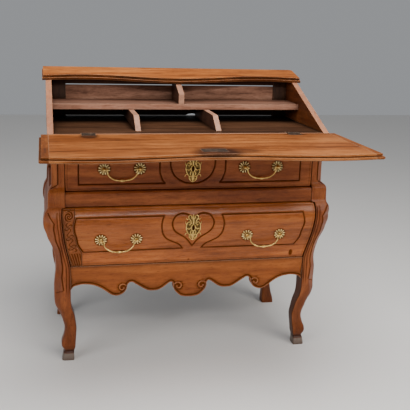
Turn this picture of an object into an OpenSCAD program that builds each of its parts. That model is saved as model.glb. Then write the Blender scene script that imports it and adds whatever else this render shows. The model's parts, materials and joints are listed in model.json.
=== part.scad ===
// Slant-front desk: a chest with a bombe front on cabriole legs, two drawers below
// a sloping fall that opens level to write on, and pigeonholes behind it.
// The desk is drawn with its turning line at y = 0, front toward -Y and floor at z = 0,
// then moved so that the middle of its outer box, fall open, stands on the origin.

/* [Case] */
// Height of the writing surface and of the fall's turning line
writing_h = 785; // [760:1:810]
// Width of the chest below the writing bed
case_w = 928; // [890:1:970]
// Depth of the chest from the turning line to the back
case_d = 435; // [425:1:455]
// How far the gables stand out past the chest on each side
gable_over = 10; // [8:1:12]

/* [Slope and top] */
// Height of the slope above the writing surface
slope_rise = 138; // [132:1:146]
// Depth of the slope, measured level
slope_run = 343; // [335:1:352]
// Thickness of the gables
gable_t = 20; // [18:1:22]
// Thickness of the top board
top_t = 18; // [16:1:20]
// Tilt of the top board toward the front
top_tilt = 13; // [11:1:14]
// How far the top board stands out past each gable
top_over = 12; // [10:1:14]

/* [Fall] */
// Thickness of the fall
fall_t = 17; // [15:1:19]
// How far the fall stands out past each gable
fall_over = 25; // [22:1:29]
// Forward swell of the top's front edge at the middle
bow_centre = 20; // [16:1:24]
// Hollow of the top's front edge at the quarters
bow_quarter = 15; // [12:1:17]

/* [Drawers] */
// Gap round each drawer front
drawer_gap = 1.2; // [1:0.1:1.5]
// Thickness of the drawer sides and backs
drawer_side_t = 11; // [10:0.5:13]
// Room between the drawer boxes and the back of the case
drawer_clear = 25; // [15:1:40]

/* [Brass] */
// Distance between the two posts of a pull
pull_span = 117; // [112:1:121]
// Drop of a bail below its posts
bail_drop = 39; // [36:1:41]
// Radius of a rosette
rosette_r = 20; // [18:0.5:21]

/* [Hidden] */

// Colours of the woods and metals
walnut = [0.42, 0.20, 0.10];
honey = [0.62, 0.38, 0.19];
inside = [0.25, 0.13, 0.08];
brass = [0.80, 0.64, 0.30];
iron = [0.22, 0.20, 0.19];

// Main levels and faces, all worked out from the driving sizes
half_w = case_w / 2;
gable_x = half_w + gable_over;
gable_in = gable_x - gable_t;
drawn_h = 785;
z_k = writing_h / drawn_h;
drawn_half_w = 464;
wide_k = half_w / drawn_half_w;
bed_t = 20;
bed_under = writing_h - bed_t;
slope_ang = atan2(slope_rise, slope_run);
slope_len = norm([slope_rise, slope_run]);
z_apron = 342 * z_k;
z_mid = 547 * z_k;
z_upper = 597 * z_k;
z_drawer_top = 754 * z_k;
skin = 0.2;
far = 700;

// Posts: depth, back face and the rear posts' faces
post_back = 46;
rear_front = case_d - 46;
back_face = case_d - 20;
// Inner edges of the stiles beside the upper drawer and of the knees, in from the chest's half width
stile_in = 43;
knee_in = 58;
box_in = 4;
box_half_upper = half_w - stile_in - box_in;
box_half_lower = half_w - knee_in - box_in;

// The outline of the posts seen from the front: height, offset from the chest's half width
POST_OUT = [[0, -27], [14, -30], [26, -32], [33, -35], [39, -33], [51, -27], [65, -26], [81, -32],
    [104, -37], [122, -36], [143, -31], [160, -26], [179, -18], [196, -9], [213, -5], [231, -4],
    [272, -4], [308, -7], [339, -11], [369, -9], [402, -3], [422, 4], [445, 14], [464, 20], [480, 26],
    [496, 28], [509, 27], [520, 25], [533, 21], [545, 14], [555, 13], [595, 11], [602, 9], [608, 4],
    [613, 0], [790, 0]];
// The inner edge of the front legs, and of the stiles above them
LEG_IN = [[0, -68], [31, -68], [46, -72], [58, -73], [94, -76], [114, -77], [140, -74], [168, -69],
    [194, -61], [221, -58], [246, -58]];
STILE_IN = [[246, -knee_in], [342, -knee_in], [366, -53], [402, -45], [438, -38], [486, -32],
    [522, -30], [546, -32], [547, -stile_in], [790, -stile_in]];
knee_z = 246;
// Front face of the posts and of the lower drawer seen from the side: height, y
POST_FRONT = [[0, 2], [15, 2], [26, 4], [33, 8], [39, 5], [51, 2], [65, 5], [81, 10], [102, 13],
    [122, 12], [148, 6], [174, 0], [205, -8], [236, -13], [267, -15], [298, -14], [329, -12],
    [369, -15], [410, -24], [440, -31], [470, -36], [495, -37], [519, -33], [539, -23], [551, -15],
    [559, -13], [596, -12], [606, -4], [613, 0], [790, 0]];
DRAWER_FRONT = [[329, -5], [342, -6], [369, -10], [410, -20], [440, -27], [470, -32], [495, -33],
    [517, -29], [535, -20], [547, -12], [559, -10]];
// Back face of the front legs
LEG_BACK = [[0, 42], [29, 41], [58, 45], [92, 50], [114, 51], [153, 48], [194, 46], [246, 46]];
// Canted outer corner of the posts: height, width of the cant
CANT = [[0, 6], [31, 6], [92, 8], [153, 10], [220, 20], [246, 28], [259, 30], [308, 20], [365, 18],
    [435, 21], [500, 33], [530, 10], [537, 4], [606, 3], [611, 19], [790, 19]];
// Rear legs: inner and outer edge offsets, and front face
REAR_IN = [[0, -66], [20, -66], [61, -64], [112, -64], [163, -62], [205, -54], [246, -40]];
REAR_OUT = [[0, -18], [20, -21], [51, -28], [92, -33], [132, -30], [174, -21], [215, -10], [252, -4]];
REAR_SET = [[0, 3], [20, 5], [61, 13], [102, 14], [153, 8], [205, 2], [246, 0]];
// Lower edge of the apron from the middle to a post: distance from the middle, height
APRON_EDGE = [[0, 215], [16, 216], [31, 220], [43, 229], [53, 240], [59, 253], [59, 264], [65, 272],
    [74, 269], [86, 260], [99, 251], [115, 245], [132, 244], [147, 246], [162, 254], [176, 263],
    [190, 272], [200, 278], [209, 277], [216, 269], [218, 258], [224, 246], [233, 238], [245, 233],
    [257, 232], [270, 236], [284, 246], [297, 256], [311, 265], [327, 272], [342, 276], [362, 278],
    [376, 277], [389, 274], [399, 269]];
apron_end_z = 259;
drawn_apron_half = 406;

// Runs a smooth curve through a table of [place, value] points
function span_at(table, s, i = 0) =
    (i >= len(table) - 2 || s < table[i + 1][0]) ? i : span_at(table, s, i + 1);
function slope_between(p, q) = (q[1] - p[1]) / (q[0] - p[0]);
function smooth(table, s) =
    let (i = span_at(table, s), last = len(table) - 1,
        a = table[max(i - 1, 0)], b = table[i], c = table[i + 1], d = table[min(i + 2, last)],
        h = c[0] - b[0], u = (s - b[0]) / h,
        mb = h * slope_between(a, c), mc = h * slope_between(b, d))
    b[1] * (1 + 2 * u) * (1 - u) * (1 - u) + mb * u * (1 - u) * (1 - u)
    + c[1] * u * u * (3 - 2 * u) - mc * u * u * (1 - u);

function post_out(z) = half_w + smooth(POST_OUT, z / z_k);
function post_in(z) = half_w + (z / z_k < knee_z ? smooth(LEG_IN, z / z_k) : lookup(z / z_k, STILE_IN));
function post_front(z) = smooth(POST_FRONT, z / z_k);
function drawer_front(z) = smooth(DRAWER_FRONT, z / z_k);
function leg_back(z) = z / z_k < knee_z ? smooth(LEG_BACK, z / z_k) : post_back;
function cant_reach(z) = (post_out(z) - lookup(z / z_k, CANT) - post_front(z)) / sqrt(2);
function rear_in(z) = half_w + (z / z_k < knee_z ? smooth(REAR_IN, z / z_k) : -40);
function rear_out(z) = z / z_k < 252 ? half_w + smooth(REAR_OUT, z / z_k) : post_out(z);
function rear_set(z) = rear_front + (z / z_k < knee_z ? smooth(REAR_SET, z / z_k) : 0);

// Heights at which the curves are cut into short flats
foot_levels = [0, 13, 26, 33, 39, 49];
leg_levels = [for (z = [62 : 13 : 234]) z];
knee_levels = [knee_z, 258];
case_levels = [for (z = [270 : 12 : 534]) z];
rail_levels = [546, 547, 555, 596, 605, 613];
post_levels = [for (z = concat(foot_levels, leg_levels, knee_levels, case_levels, rail_levels)) z * z_k];

// Serpentine of the top's front edge, forward positive, at a distance x from the middle
turn_at = 0.68;
function bow(x) =
    let (u = abs(x) / (gable_x + top_over), mean = (bow_centre - bow_quarter) / 2,
        swing = (bow_centre + bow_quarter) / 2)
    u < turn_at ? mean + swing * cos(180 * u / turn_at)
                : -bow_quarter * cos(90 * min(u - turn_at, 1 - turn_at) / (1 - turn_at));
// Length of the fall at x, so that its closed edge meets the underside of the top's edge
seam = 1.2;
bow_along_slope = cos(slope_ang) + tan(top_tilt) * sin(slope_ang);
function fall_len(x) = slope_len - seam - bow(x) * bow_along_slope;
fall_x = gable_x + fall_over;
edge_steps = 44;
function edge_x(half) = [for (i = [0 : edge_steps]) -half + 2 * half * i / edge_steps];

// Underside of the top board at y
function under_top(y) = writing_h + slope_rise + (y - slope_run) * tan(top_tilt);

// Outer box, fall open, and the move that centres it
top_back = case_d + 15;
front_reach = slope_len - seam + bow_quarter * bow_along_slope;
mid_y = (top_back - front_reach) / 2;

// Inner edge line of a closed outline drawn counter-clockwise
function unit(v) = v / max(norm(v), 0.0001);
function inset(p, d) =
    [for (i = [0 : len(p) - 1])
        let (n = len(p), u = unit(p[i] - p[(i + n - 1) % n]), v = unit(p[(i + 1) % n] - p[i]),
            m = unit([-(u[1] + v[1]), u[0] + v[0]]), c = max(m * [-u[1], u[0]], 0.5))
        p[i] + m * d / c];
function reversed(p) = [for (i = [len(p) - 1 : -1 : 0]) p[i]];
function box_outline(x0, z0, x1, z1) = [[x0, z0], [x1, z0], [x1, z1], [x0, z1]];

module along_x(points, x0, x1) {
    translate([x0, 0, 0]) rotate([90, 0, 90]) linear_extrude(x1 - x0) polygon(points);
}
module along_y(points, y0, y1) {
    translate([0, y1, 0]) rotate([90, 0, 0]) linear_extrude(y1 - y0) polygon(points);
}
module span(a, b) {
    translate(a) cube(b - a);
}
module placed() {
    translate([0, -mid_y, 0]) children();
}
module sided(side) {
    mirror([side < 0 ? 1 : 0, 0, 0]) children();
}

// Carcass

module top_layer(z0, z1, set, end_set) {
    half = gable_x + top_over - end_set;
    rear = (top_back - slope_run) / cos(top_tilt);
    worn = 12;
    front = [for (x = edge_x(half)) [x, set - bow(x)]];
    back = [[half, rear - worn], [half - 3, rear - 4], [half - worn, rear], [-half, rear]];
    translate([0, 0, z0]) linear_extrude(z1 - z0) polygon(concat(front, back));
}

module top_board() {
    lip = 0.45 * top_t;
    groove = 0.62 * top_t;
    color(honey) placed() translate([0, slope_run, writing_h + slope_rise]) rotate([top_tilt, 0, 0]) {
        top_layer(0, lip, 0, 0);
        top_layer(lip, groove, 8, 6);
        top_layer(groove, top_t, 4, 3);
    }
}

shelf_up = 45;
shelf_z = writing_h + shelf_up;
shelf_t = 20;
shelf_y = 262;
dado = 5;

// Tongue under a gable, and its groove in the writing bed
module gable_tongue(high) {
    end_in = 24;
    span([gable_in + 6, end_in, writing_h - 6], [gable_in + 14, case_d - end_in, high]);
}

module gable(side) {
    drop = 0.4;
    rise = tan(slope_ang);
    meet = (under_top(0) + drop - writing_h) / (rise - tan(top_tilt));
    toe = drop / rise;
    outline = [[toe, writing_h], [case_d, writing_h], [case_d, under_top(case_d)], [meet, under_top(meet)]];
    color(honey) placed() sided(side) {
        difference() {
            along_x(outline, gable_in, gable_x);
            span([gable_in - 1, shelf_y, shelf_z], [gable_in + dado, back_stile_y, shelf_z + shelf_t]);
        }
        gable_tongue(writing_h + 2);
    }
}

back_stile_y = case_d - 25;
back_stile_t = 12;
stile_w = 52;
stile_x = gable_in - stile_w;

module sloped_back(x0, x1, z0) {
    y0 = back_stile_y;
    y1 = back_stile_y + back_stile_t;
    along_x([[y0, z0], [y1, z0], [y1, under_top(y1)], [y0, under_top(y0)]], x0, x1);
}

module back_stile(side) {
    color(inside) placed() sided(side) sloped_back(stile_x, gable_in, writing_h);
}

board_top = writing_h + 117;
board_join = writing_h + 58;
back_board_t = 9;

module back_rail_upper() {
    color(inside) placed() sloped_back(-stile_x, stile_x, board_top + 4);
}

module back_board_upper() {
    shrink = 3;
    color(inside) placed()
        span([-stile_x, back_stile_y, board_join],
            [stile_x - shrink, back_stile_y + back_board_t, board_top]);
}

module back_board_lower() {
    foot_gap = 4;
    chipped = [[51, -1], [62, 5], [77, 7], [89, 5], [102, 8], [119, -1]];
    color(inside) placed() difference() {
        span([-stile_x, back_stile_y, writing_h + foot_gap],
            [stile_x, back_stile_y + back_board_t, board_join]);
        translate([0, 0, writing_h + foot_gap]) along_y(chipped, back_stile_y - 1, case_d);
    }
}

back_low = 308 * z_k;
case_back_t = 8;
back_rail_t = 22;
rebate_x = half_w - 28;

module case_back() {
    color(inside) placed()
        span([-rebate_x, back_face, back_low], [rebate_x, back_face + case_back_t, bed_under]);
}

module back_rail_lower() {
    color(inside) placed()
        span([-rear_in(back_low), back_face - back_rail_t, back_low],
            [rear_in(back_low), back_face, z_apron]);
}

// Curved side between the posts: outer and inner faces follow the posts' outline
bombe_low = 269 * z_k;
bombe_set = 4;
bombe_t = 18;
side_tongue = 8;

function bombe_band(out, inner) =
    let (zs = concat([bombe_low], [for (z = post_levels) if (z > bombe_low && z < z_upper) z], [z_upper]))
    concat([for (z = zs) [post_out(z) - out, z]], [for (z = reversed(zs)) [post_out(z) - inner, z]]);

module bombe_tongue(y0, y1) {
    along_y(bombe_band(bombe_set + 6, bombe_set + 12), y0, y1);
}

module bombe_side(side) {
    mid = (post_back + rear_front) / 2;
    reach = mid - post_back + 1;
    arch = [for (a = [0 : 12 : 180])
        [mid - reach * cos(a), bombe_low + 24 * sin(a) * (1 + 0.25 * cos(4 * a))]];
    color(walnut) placed() sided(side) difference() {
        union() {
            along_y(bombe_band(bombe_set, bombe_set + bombe_t), post_back, rear_front);
            bombe_tongue(post_back - side_tongue, rear_front + side_tongue);
        }
        along_x(concat([[mid - reach, bombe_low - 5]], arch, [[mid + reach, bombe_low - 5]]), 0, far);
    }
}

side_board_out = 3;
side_board_t = 15;

module side_tongue_board(y0, y1) {
    span([half_w - side_board_out - 11, y0, z_upper], [half_w - side_board_out - 4, y1, bed_under]);
}

module side_board(side) {
    color(walnut) placed() sided(side) {
        span([half_w - side_board_out - side_board_t, post_back, z_upper],
            [half_w - side_board_out, rear_front, bed_under]);
        side_tongue_board(post_back - side_tongue, rear_front + side_tongue);
    }
}

// Rails with their tenons
tenon = 18;

module apron_tenon() {
    span([post_in(z_apron) - 1, 0, 276 * z_k], [half_w - knee_in + tenon, 10, 331 * z_k]);
}
module mid_tenon() {
    span([post_in(z_mid) - 1, -2, z_mid + 10], [post_in(z_mid) + tenon, 9, z_upper - 9]);
}
module top_tenon() {
    span([post_in(z_mid) - 1, 12, bed_under - 9], [post_in(z_mid) + tenon, 32, bed_under]);
}

module post_blank() {
    tops = concat(post_levels, [bed_under]);
    intersection() {
        along_y(concat([for (z = tops) [post_out(z), z]], [for (z = reversed(tops)) [post_in(z), z]]),
            -90, 90);
        along_x(concat([for (z = tops) [post_front(z), z]], [for (z = reversed(tops)) [leg_back(z), z]]),
            0, far);
        rotate([0, 0, -45])
            along_y(concat([for (z = tops) [cant_reach(z), z]], [[0, bed_under], [0, 0]]), -far, far);
    }
}

module front_post(side) {
    color(walnut) placed() sided(side) difference() {
        post_blank();
        apron_tenon();
        mid_tenon();
        top_tenon();
        bombe_tongue(post_back - side_tongue, far);
        side_tongue_board(post_back - side_tongue, far);
    }
}

module rear_post(side) {
    tops = concat(post_levels, [bed_under]);
    outline = concat([for (z = tops) [rear_out(z), z]], [for (z = reversed(tops)) [rear_in(z), z]]);
    faces = concat([for (z = tops) [case_d, z]], [for (z = reversed(tops)) [rear_set(z), z]]);
    color(walnut) placed() sided(side) difference() {
        intersection() {
            along_y(outline, 0, far);
            along_x(faces, 0, far);
        }
        bombe_tongue(0, rear_front + side_tongue);
        side_tongue_board(0, rear_front + side_tongue);
        span([0, back_face, back_low], [rebate_x, far, bed_under + 1]);
    }
}

// Hinges of the fall
hinge_x = 345 * wide_k;
hinge_w = 44;
leaf_d = 26;
leaf_t = 2;
knuckle_r = 4;
knuckle_gap = 0.8;
pin_r = 2;
pin_play = 0.06;
eye_half = 9;
end_gap = 0.4;

module axis_rod(r, x0, x1) {
    translate([x0, 0, writing_h]) rotate([0, 90, 0]) cylinder(r = r, h = x1 - x0, $fn = 48);
}
module hinge_leaf(y0, y1) {
    span([hinge_x - hinge_w / 2, y0, writing_h - leaf_t], [hinge_x + hinge_w / 2, y1, writing_h]);
}
module knuckle_room() {
    axis_rod(knuckle_r + knuckle_gap, hinge_x - hinge_w / 2 - 0.5, hinge_x + hinge_w / 2 + 0.5);
}

module hinge_plate(side) {
    left = hinge_x - hinge_w / 2;
    right = hinge_x + hinge_w / 2;
    color(iron) placed() sided(side) {
        difference() {
            hinge_leaf(skin, leaf_d);
            axis_rod(knuckle_r + knuckle_gap, hinge_x - eye_half - end_gap, hinge_x + eye_half + end_gap);
        }
        axis_rod(knuckle_r, left, hinge_x - eye_half - end_gap);
        axis_rod(knuckle_r, hinge_x + eye_half + end_gap, right);
        axis_rod(pin_r, left, right);
    }
}

module hinge_flap(side) {
    left = hinge_x - hinge_w / 2;
    right = hinge_x + hinge_w / 2;
    color(iron) placed() sided(side) difference() {
        union() {
            difference() {
                hinge_leaf(-leaf_d, -skin);
                axis_rod(knuckle_r + knuckle_gap, left - 1, hinge_x - eye_half);
                axis_rod(knuckle_r + knuckle_gap, hinge_x + eye_half, right + 1);
            }
            axis_rod(knuckle_r, hinge_x - eye_half, hinge_x + eye_half);
        }
        axis_rod(pin_r + pin_play, left - 1, right + 1);
    }
}

module writing_bed() {
    color(honey) placed() difference() {
        span([-gable_x, skin, bed_under], [gable_x, case_d, writing_h]);
        for (side = [-1, 1]) sided(side) {
            hinge_leaf(-1, leaf_d);
            knuckle_room();
            gable_tongue(writing_h + 1);
        }
    }
}

module top_rail() {
    ends = post_in(z_mid);
    color(walnut) placed() {
        span([-ends, 4, z_drawer_top], [ends, 40, bed_under]);
        for (side = [-1, 1]) sided(side) top_tenon();
    }
}

module mid_rail() {
    ends = post_in(z_mid);
    front = -10;
    outline = [[front + 2, z_mid], [16, z_mid], [16, z_upper], [front + 6, z_upper], [front + 2, z_upper - 3],
        [front, z_upper - 7], [front, z_mid + 3]];
    color(walnut) placed() {
        along_x(outline, -ends, ends);
        for (side = [-1, 1]) sided(side) mid_tenon();
    }
}

apron_face = -6;
apron_t = 22;
bead_w = 5;
bead_h = 1.5;

// Raised spiral at the end of a scroll: a strip that winds in from radius r
module apron_scroll(x, z, r) {
    turns = 1.6;
    strip = 4;
    core = 6;
    function at(a, d) =
        let (q = r - (r - core) * a / (360 * turns) - d) [x + q * cos(a - 60), z + q * sin(a - 60)];
    sweep = [for (a = [0 : 24 : 360 * turns]) a];
    along_y(concat([for (a = sweep) at(a, 0)], [for (a = reversed(sweep)) at(a, strip)]),
        apron_face - 2.5, apron_face);
}

module apron() {
    end_x = half_w - knee_in;
    w_k = end_x / drawn_apron_half;
    half = concat([for (p = APRON_EDGE) [p[0] * w_k, p[1] * z_k]], [[end_x, apron_end_z * z_k]]);
    left = [for (i = [len(half) - 1 : -1 : 1]) [-half[i][0], half[i][1]]];
    edge = concat(left, half);
    outline = concat(edge, [[end_x, z_apron], [-end_x, z_apron]]);
    inner = inset(outline, bead_w);
    color(walnut) placed() {
        along_y(outline, apron_face, apron_face + apron_t);
        along_y(concat(edge, [for (i = [len(edge) - 1 : -1 : 0]) inner[i]]), apron_face - bead_h, apron_face);
        for (side = [-1, 1]) sided(side) {
            apron_tenon();
            apron_scroll(40 * w_k, 256 * z_k, 16);
            apron_scroll(235 * w_k, 259 * z_k, 15);
        }
    }
}

// Runners and guides for the drawers
runner_t = 18;
runner_w = 36;
guide_h = 14;

module runner_upper(side) {
    color(inside) placed() sided(side) {
        span([half_w - stile_in - runner_w, 16, z_upper - runner_t], [half_w - stile_in, back_face, z_upper]);
        span([half_w - stile_in, post_back, z_upper - runner_t],
            [half_w - side_board_out - side_board_t, rear_front, z_upper + guide_h]);
    }
}

module runner_lower(side) {
    heights = [z_apron - runner_t, z_apron, z_apron + guide_h];
    outer = min([for (z = heights) post_out(z)]) - bombe_set - bombe_t - 0.5;
    color(inside) placed() sided(side) {
        span([half_w - knee_in - runner_w, apron_face + apron_t, z_apron - runner_t],
            [half_w - knee_in, back_face - back_rail_t, z_apron]);
        span([half_w - knee_in, post_back, z_apron - runner_t], [outer, rear_front, z_apron + guide_h]);
    }
}

// Pigeonholes
module shelf() {
    color(inside) placed()
        span([-gable_in - dado, shelf_y, shelf_z], [gable_in + dado, back_stile_y, shelf_z + shelf_t]);
}

upper_divider_x = 6;
left_divider_x = -177 * wide_k;
right_divider_x = 98 * wide_k;
divider_t = 20;
lower_divider_t = 18;
// The front edges lean back and stay just clear of the closed fall
divider_foot_y = 58;
fall_clear = 6;
function slope_y(z) = (z - writing_h) / tan(slope_ang);

module divider_upper() {
    low = shelf_z + shelf_t;
    front_top = slope_run + 4;
    bend = low + 36;
    outline = [[shelf_y + 2, low], [back_stile_y, low], [back_stile_y, under_top(back_stile_y)],
        [front_top, under_top(front_top)], [slope_y(bend) + fall_clear + 6, bend]];
    color(honey) placed() along_x(outline, upper_divider_x - divider_t / 2, upper_divider_x + divider_t / 2);
}

module lower_divider(x) {
    outline = [[divider_foot_y, writing_h], [back_stile_y, writing_h], [back_stile_y, shelf_z],
        [slope_y(shelf_z) + fall_clear, shelf_z]];
    color(honey) placed() along_x(outline, x - lower_divider_t / 2, x + lower_divider_t / 2);
}

// The fall, drawn open

module fall_layer(z0, z1, set) {
    half = fall_x - set;
    front = [for (x = edge_x(half)) [x, set - fall_len(x)]];
    translate([0, 0, writing_h - z1]) linear_extrude(z1 - z0)
        polygon(concat(front, [[half, -skin], [-half, -skin]]));
}

module fall_blank() {
    bead = 0.35 * fall_t;
    groove = 0.53 * fall_t;
    fall_layer(0, bead, 6);
    fall_layer(bead, groove, 10);
    fall_layer(groove, fall_t - 2, 0);
    fall_layer(fall_t - 2, fall_t, 2);
}

fall_joint = fall_x - 28;
module fall_tongue() {
    mid = writing_h - 0.62 * fall_t;
    span([fall_joint - 1, -320, mid - 2.5], [fall_joint + 10, -24, mid + 2.5]);
}

key_r = 3;
lock_y = -313;
fall_key_y = lock_y + 22;

module fall_lock_body(extra = 0) {
    plate_half = 38;
    case_half = 32;
    span([-plate_half, lock_y, writing_h - 2], [plate_half, lock_y + 50, writing_h + extra]);
    span([-case_half, lock_y + 3, writing_h - 11], [case_half, lock_y + 42, writing_h - 1]);
}

module fall_key_bore(z, h) {
    translate([0, fall_key_y, z]) cylinder(r = key_r, h = h, $fn = 24);
}

module fall_board() {
    color(honey) placed() difference() {
        union() {
            intersection() {
                fall_blank();
                span([-fall_joint, -far, 0], [fall_joint, 0, writing_h + 1]);
            }
            for (side = [-1, 1]) sided(side) fall_tongue();
        }
        for (side = [-1, 1]) sided(side) {
            hinge_leaf(-leaf_d, 1);
            knuckle_room();
        }
        fall_lock_body(1);
        fall_key_bore(writing_h - fall_t - 1, 9);
    }
}

module fall_end(side) {
    color(honey) placed() sided(side) difference() {
        intersection() {
            fall_blank();
            span([fall_joint, -far, 0], [far, 0, writing_h + 1]);
        }
        fall_tongue();
    }
}

module fall_lock() {
    color(iron) placed() difference() {
        fall_lock_body();
        fall_key_bore(writing_h - 12, 6);
    }
}

// Pierced cartouche of the keyhole plates
function cartouche(w, h) =
    [for (a = [0 : 7.5 : 352.5])
        let (r = 1 + 0.09 * cos(6 * a) + 0.05 * cos(10 * a + 30 * sin(2 * a)))
        [w * r * cos(a) * (1 + 0.08 * sin(a)), h * r * sin(a)]];
plate_w = 29;
plate_h = 45;
plate_up = 2;

module key_hole(z, y0, y1) {
    hole_r = 4.5;
    slot_half = 2.2;
    translate([0, y1, z + hole_r]) rotate([90, 0, 0]) cylinder(r = hole_r, h = y1 - y0, $fn = 24);
    span([-slot_half, y0, z - 11], [slot_half, y1, z + hole_r]);
}

module piercings(w, h, z, y0, y1) {
    for (side = [-1, 1], k = [-1, 1])
        translate([side * 0.48 * w, y1, z + k * 0.42 * h]) rotate([90, 0, 0])
            cylinder(r = 0.15 * w, h = y1 - y0, $fn = 24);
    for (side = [-1, 1])
        translate([side * 0.62 * w, y1, z]) rotate([90, 0, 0]) cylinder(r = 0.12 * w, h = y1 - y0, $fn = 24);
    for (k = [-1, 1])
        translate([0, y1, z + k * 0.68 * h]) rotate([90, 0, 0]) cylinder(r = 0.13 * w, h = y1 - y0, $fn = 24);
}

module fall_escutcheon() {
    plate_t = 1.5;
    outline = [for (p = cartouche(17, 24)) [p[0], p[1] + fall_key_y]];
    color(brass) placed() difference() {
        translate([0, 0, writing_h - fall_t - plate_t]) linear_extrude(plate_t) polygon(outline);
        fall_key_bore(writing_h - fall_t - 3, 9);
    }
}

// Drawer joinery, shared by both drawers. The sides run on the runners, with run_gap below.
side_drop = 3;
run_gap = 0.3;
bottom_t = 6;
bottom_z = 8;
bottom_groove = 5;
front_back = 20;
drawer_len = back_face - front_back - drawer_clear;
tail_len = 11;

module tails(x0, x1, z0, z1) {
    count = 3;
    pitch = (z1 - z0) / count;
    wide = pitch * 0.36;
    slim = pitch * 0.26;
    for (i = [0 : count - 1]) {
        z = z0 + pitch * (i + 0.5);
        along_x([[front_back - tail_len, z - wide], [front_back + 1, z - slim], [front_back + 1, z + slim],
            [front_back - tail_len, z + wide]], x0, x1);
    }
}

module drawer_side(box_half, z0, z1) {
    color(honey) placed() difference() {
        union() {
            span([box_half - drawer_side_t, front_back, z0 - drawer_gap + run_gap],
                [box_half, front_back + drawer_len, z1 - side_drop]);
            tails(box_half - drawer_side_t, box_half, z0 + 16, z1 - side_drop - 4);
        }
        span([0, 0, z0 + bottom_z],
            [box_half - drawer_side_t + bottom_groove, far, z0 + bottom_z + bottom_t]);
    }
}

module drawer_back(box_half, z0, z1) {
    inner = box_half - drawer_side_t;
    y1 = front_back + drawer_len;
    color(honey) placed()
        span([-inner, y1 - drawer_side_t, z0 + bottom_z + bottom_t], [inner, y1, z1 - 12]);
}

module drawer_bottom(box_half, z0) {
    inner = box_half - drawer_side_t + bottom_groove;
    color(honey) placed()
        span([-inner, front_back - 8, z0 + bottom_z],
            [inner, front_back + drawer_len, z0 + bottom_z + bottom_t]);
}

module front_joinery(box_half, z0, z1) {
    inner = box_half - drawer_side_t + bottom_groove;
    for (side = [-1, 1]) sided(side)
        tails(box_half - drawer_side_t, box_half, z0 + 16, z1 - side_drop - 4);
    span([-inner, front_back - 8, z0 + bottom_z], [inner, front_back + 1, z0 + bottom_z + bottom_t]);
}

lock_face = 10;
module drawer_lock(z_key, z_top) {
    span([-34, lock_face, z_key - 30], [34, front_back, z_key + 30]);
    span([-7, lock_face + 1, z_key + 30], [7, front_back - 2, z_top - 1]);
}

// Pulls: two rosettes with posts, and a bail between them
pull_x = 236 * wide_k;
low_pull_x = 249 * wide_k;
head_out = 12;
bolt_r = 2.5;
upper_pull_z = 671 * z_k;
low_pull_z = 438 * z_k;
// The lower pulls sit on flat seats that lean with the bombe face
seat_d = 0.8;
seat_gap = 0.1;
low_pull_y = drawer_front(low_pull_z) + seat_d;
low_lean = atan2(drawer_front(low_pull_z - rosette_r) - drawer_front(low_pull_z + rosette_r), 2 * rosette_r);

// A rosette with its post, drawn on the front's face and standing out toward -Y
petals = 12;
petal_outline = [for (a = [0 : 6 : 354])
    let (r = rosette_r * (0.90 + 0.10 * cos(petals * a))) [r * cos(a), r * sin(a)]];
POST_PROFILE = [[0, 1], [9.5, 1], [8.5, 4], [4, 5.2], [3.4, 6.5], [5.6, 8.5], [6.5, 10.5], [6.5, 13.5],
    [5.2, 16.5], [2.4, 18.5], [0, 18.8]];
module rosette(bolt_len) {
    nut_t = 3.5;
    difference() {
        union() {
            along_y(petal_outline, -2.2, 0);
            rotate([90, 0, 0]) rotate_extrude($fn = 32) polygon(POST_PROFILE);
        }
        translate([-20, -head_out, 0]) rotate([0, 90, 0])
            cylinder(r = pin_r + pin_play, h = 40, $fn = 32);
    }
    translate([0, -1, 0]) rotate([-90, 0, 0]) cylinder(r = bolt_r, h = bolt_len + 1, $fn = 24);
    translate([0, bolt_len - nut_t - 1, 0]) rotate([-90, 0, 0]) cylinder(r = 5, h = nut_t, $fn = 6);
}

module at_pulls(x_mid, y, z, lean) {
    for (side = [-1, 1], k = [-1, 1])
        translate([side * x_mid + k * pull_span / 2, y, z]) rotate([lean, 0, 0]) children();
}

module bolt_holes(x_mid, y, z, lean) {
    at_pulls(x_mid, y, z, lean) translate([0, -4, 0]) rotate([-90, 0, 0])
        cylinder(r = bolt_r, h = 70, $fn = 24);
}

module pull_seats(x_mid, y, z, lean) {
    at_pulls(x_mid, y, z, lean) rotate([90, 0, 0]) cylinder(r = rosette_r + 0.4, h = 9, $fn = 60);
}

// Half of a bail's rod: distance from the middle, drop
pin_end = pull_span / 2;
rod_x = pin_end - 11;
BAIL = [[1, 0], [1.02, 0.2], [0.93, 0.46], [0.72, 0.72], [0.42, 0.9], [0, 0.96]];
rod_r = 2.6;

module rod_between(a, b, r) {
    d = b - a;
    translate([a[0], 0, a[1]]) rotate([0, atan2(d[0], d[1]), 0]) cylinder(r = r, h = norm(d), $fn = 24);
}

module bead(p, r) {
    translate([p[0], 0, p[1]]) sphere(r = r, $fn = 24);
}

module bail() {
    pts = [for (p = BAIL) [p[0] * rod_x, -p[1] * bail_drop]];
    bead_r = [3.1, 3, 4.2, 3, 3, 5.8];
    for (side = [-1, 1]) sided(side) {
        translate([rod_x, 0, 0]) rotate([0, 90, 0]) cylinder(r = pin_r, h = 17, $fn = 32);
        for (i = [0 : len(pts) - 2]) {
            rod_between(pts[i], pts[i + 1], rod_r);
            bead(pts[i], bead_r[i]);
        }
    }
    bead(pts[5], bead_r[5]);
}

// Upper drawer

upper_z0 = z_upper + drawer_gap;
upper_z1 = z_drawer_top - drawer_gap;
upper_key_z = 667 * z_k;
upper_half = post_in(z_mid) - drawer_gap;

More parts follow.
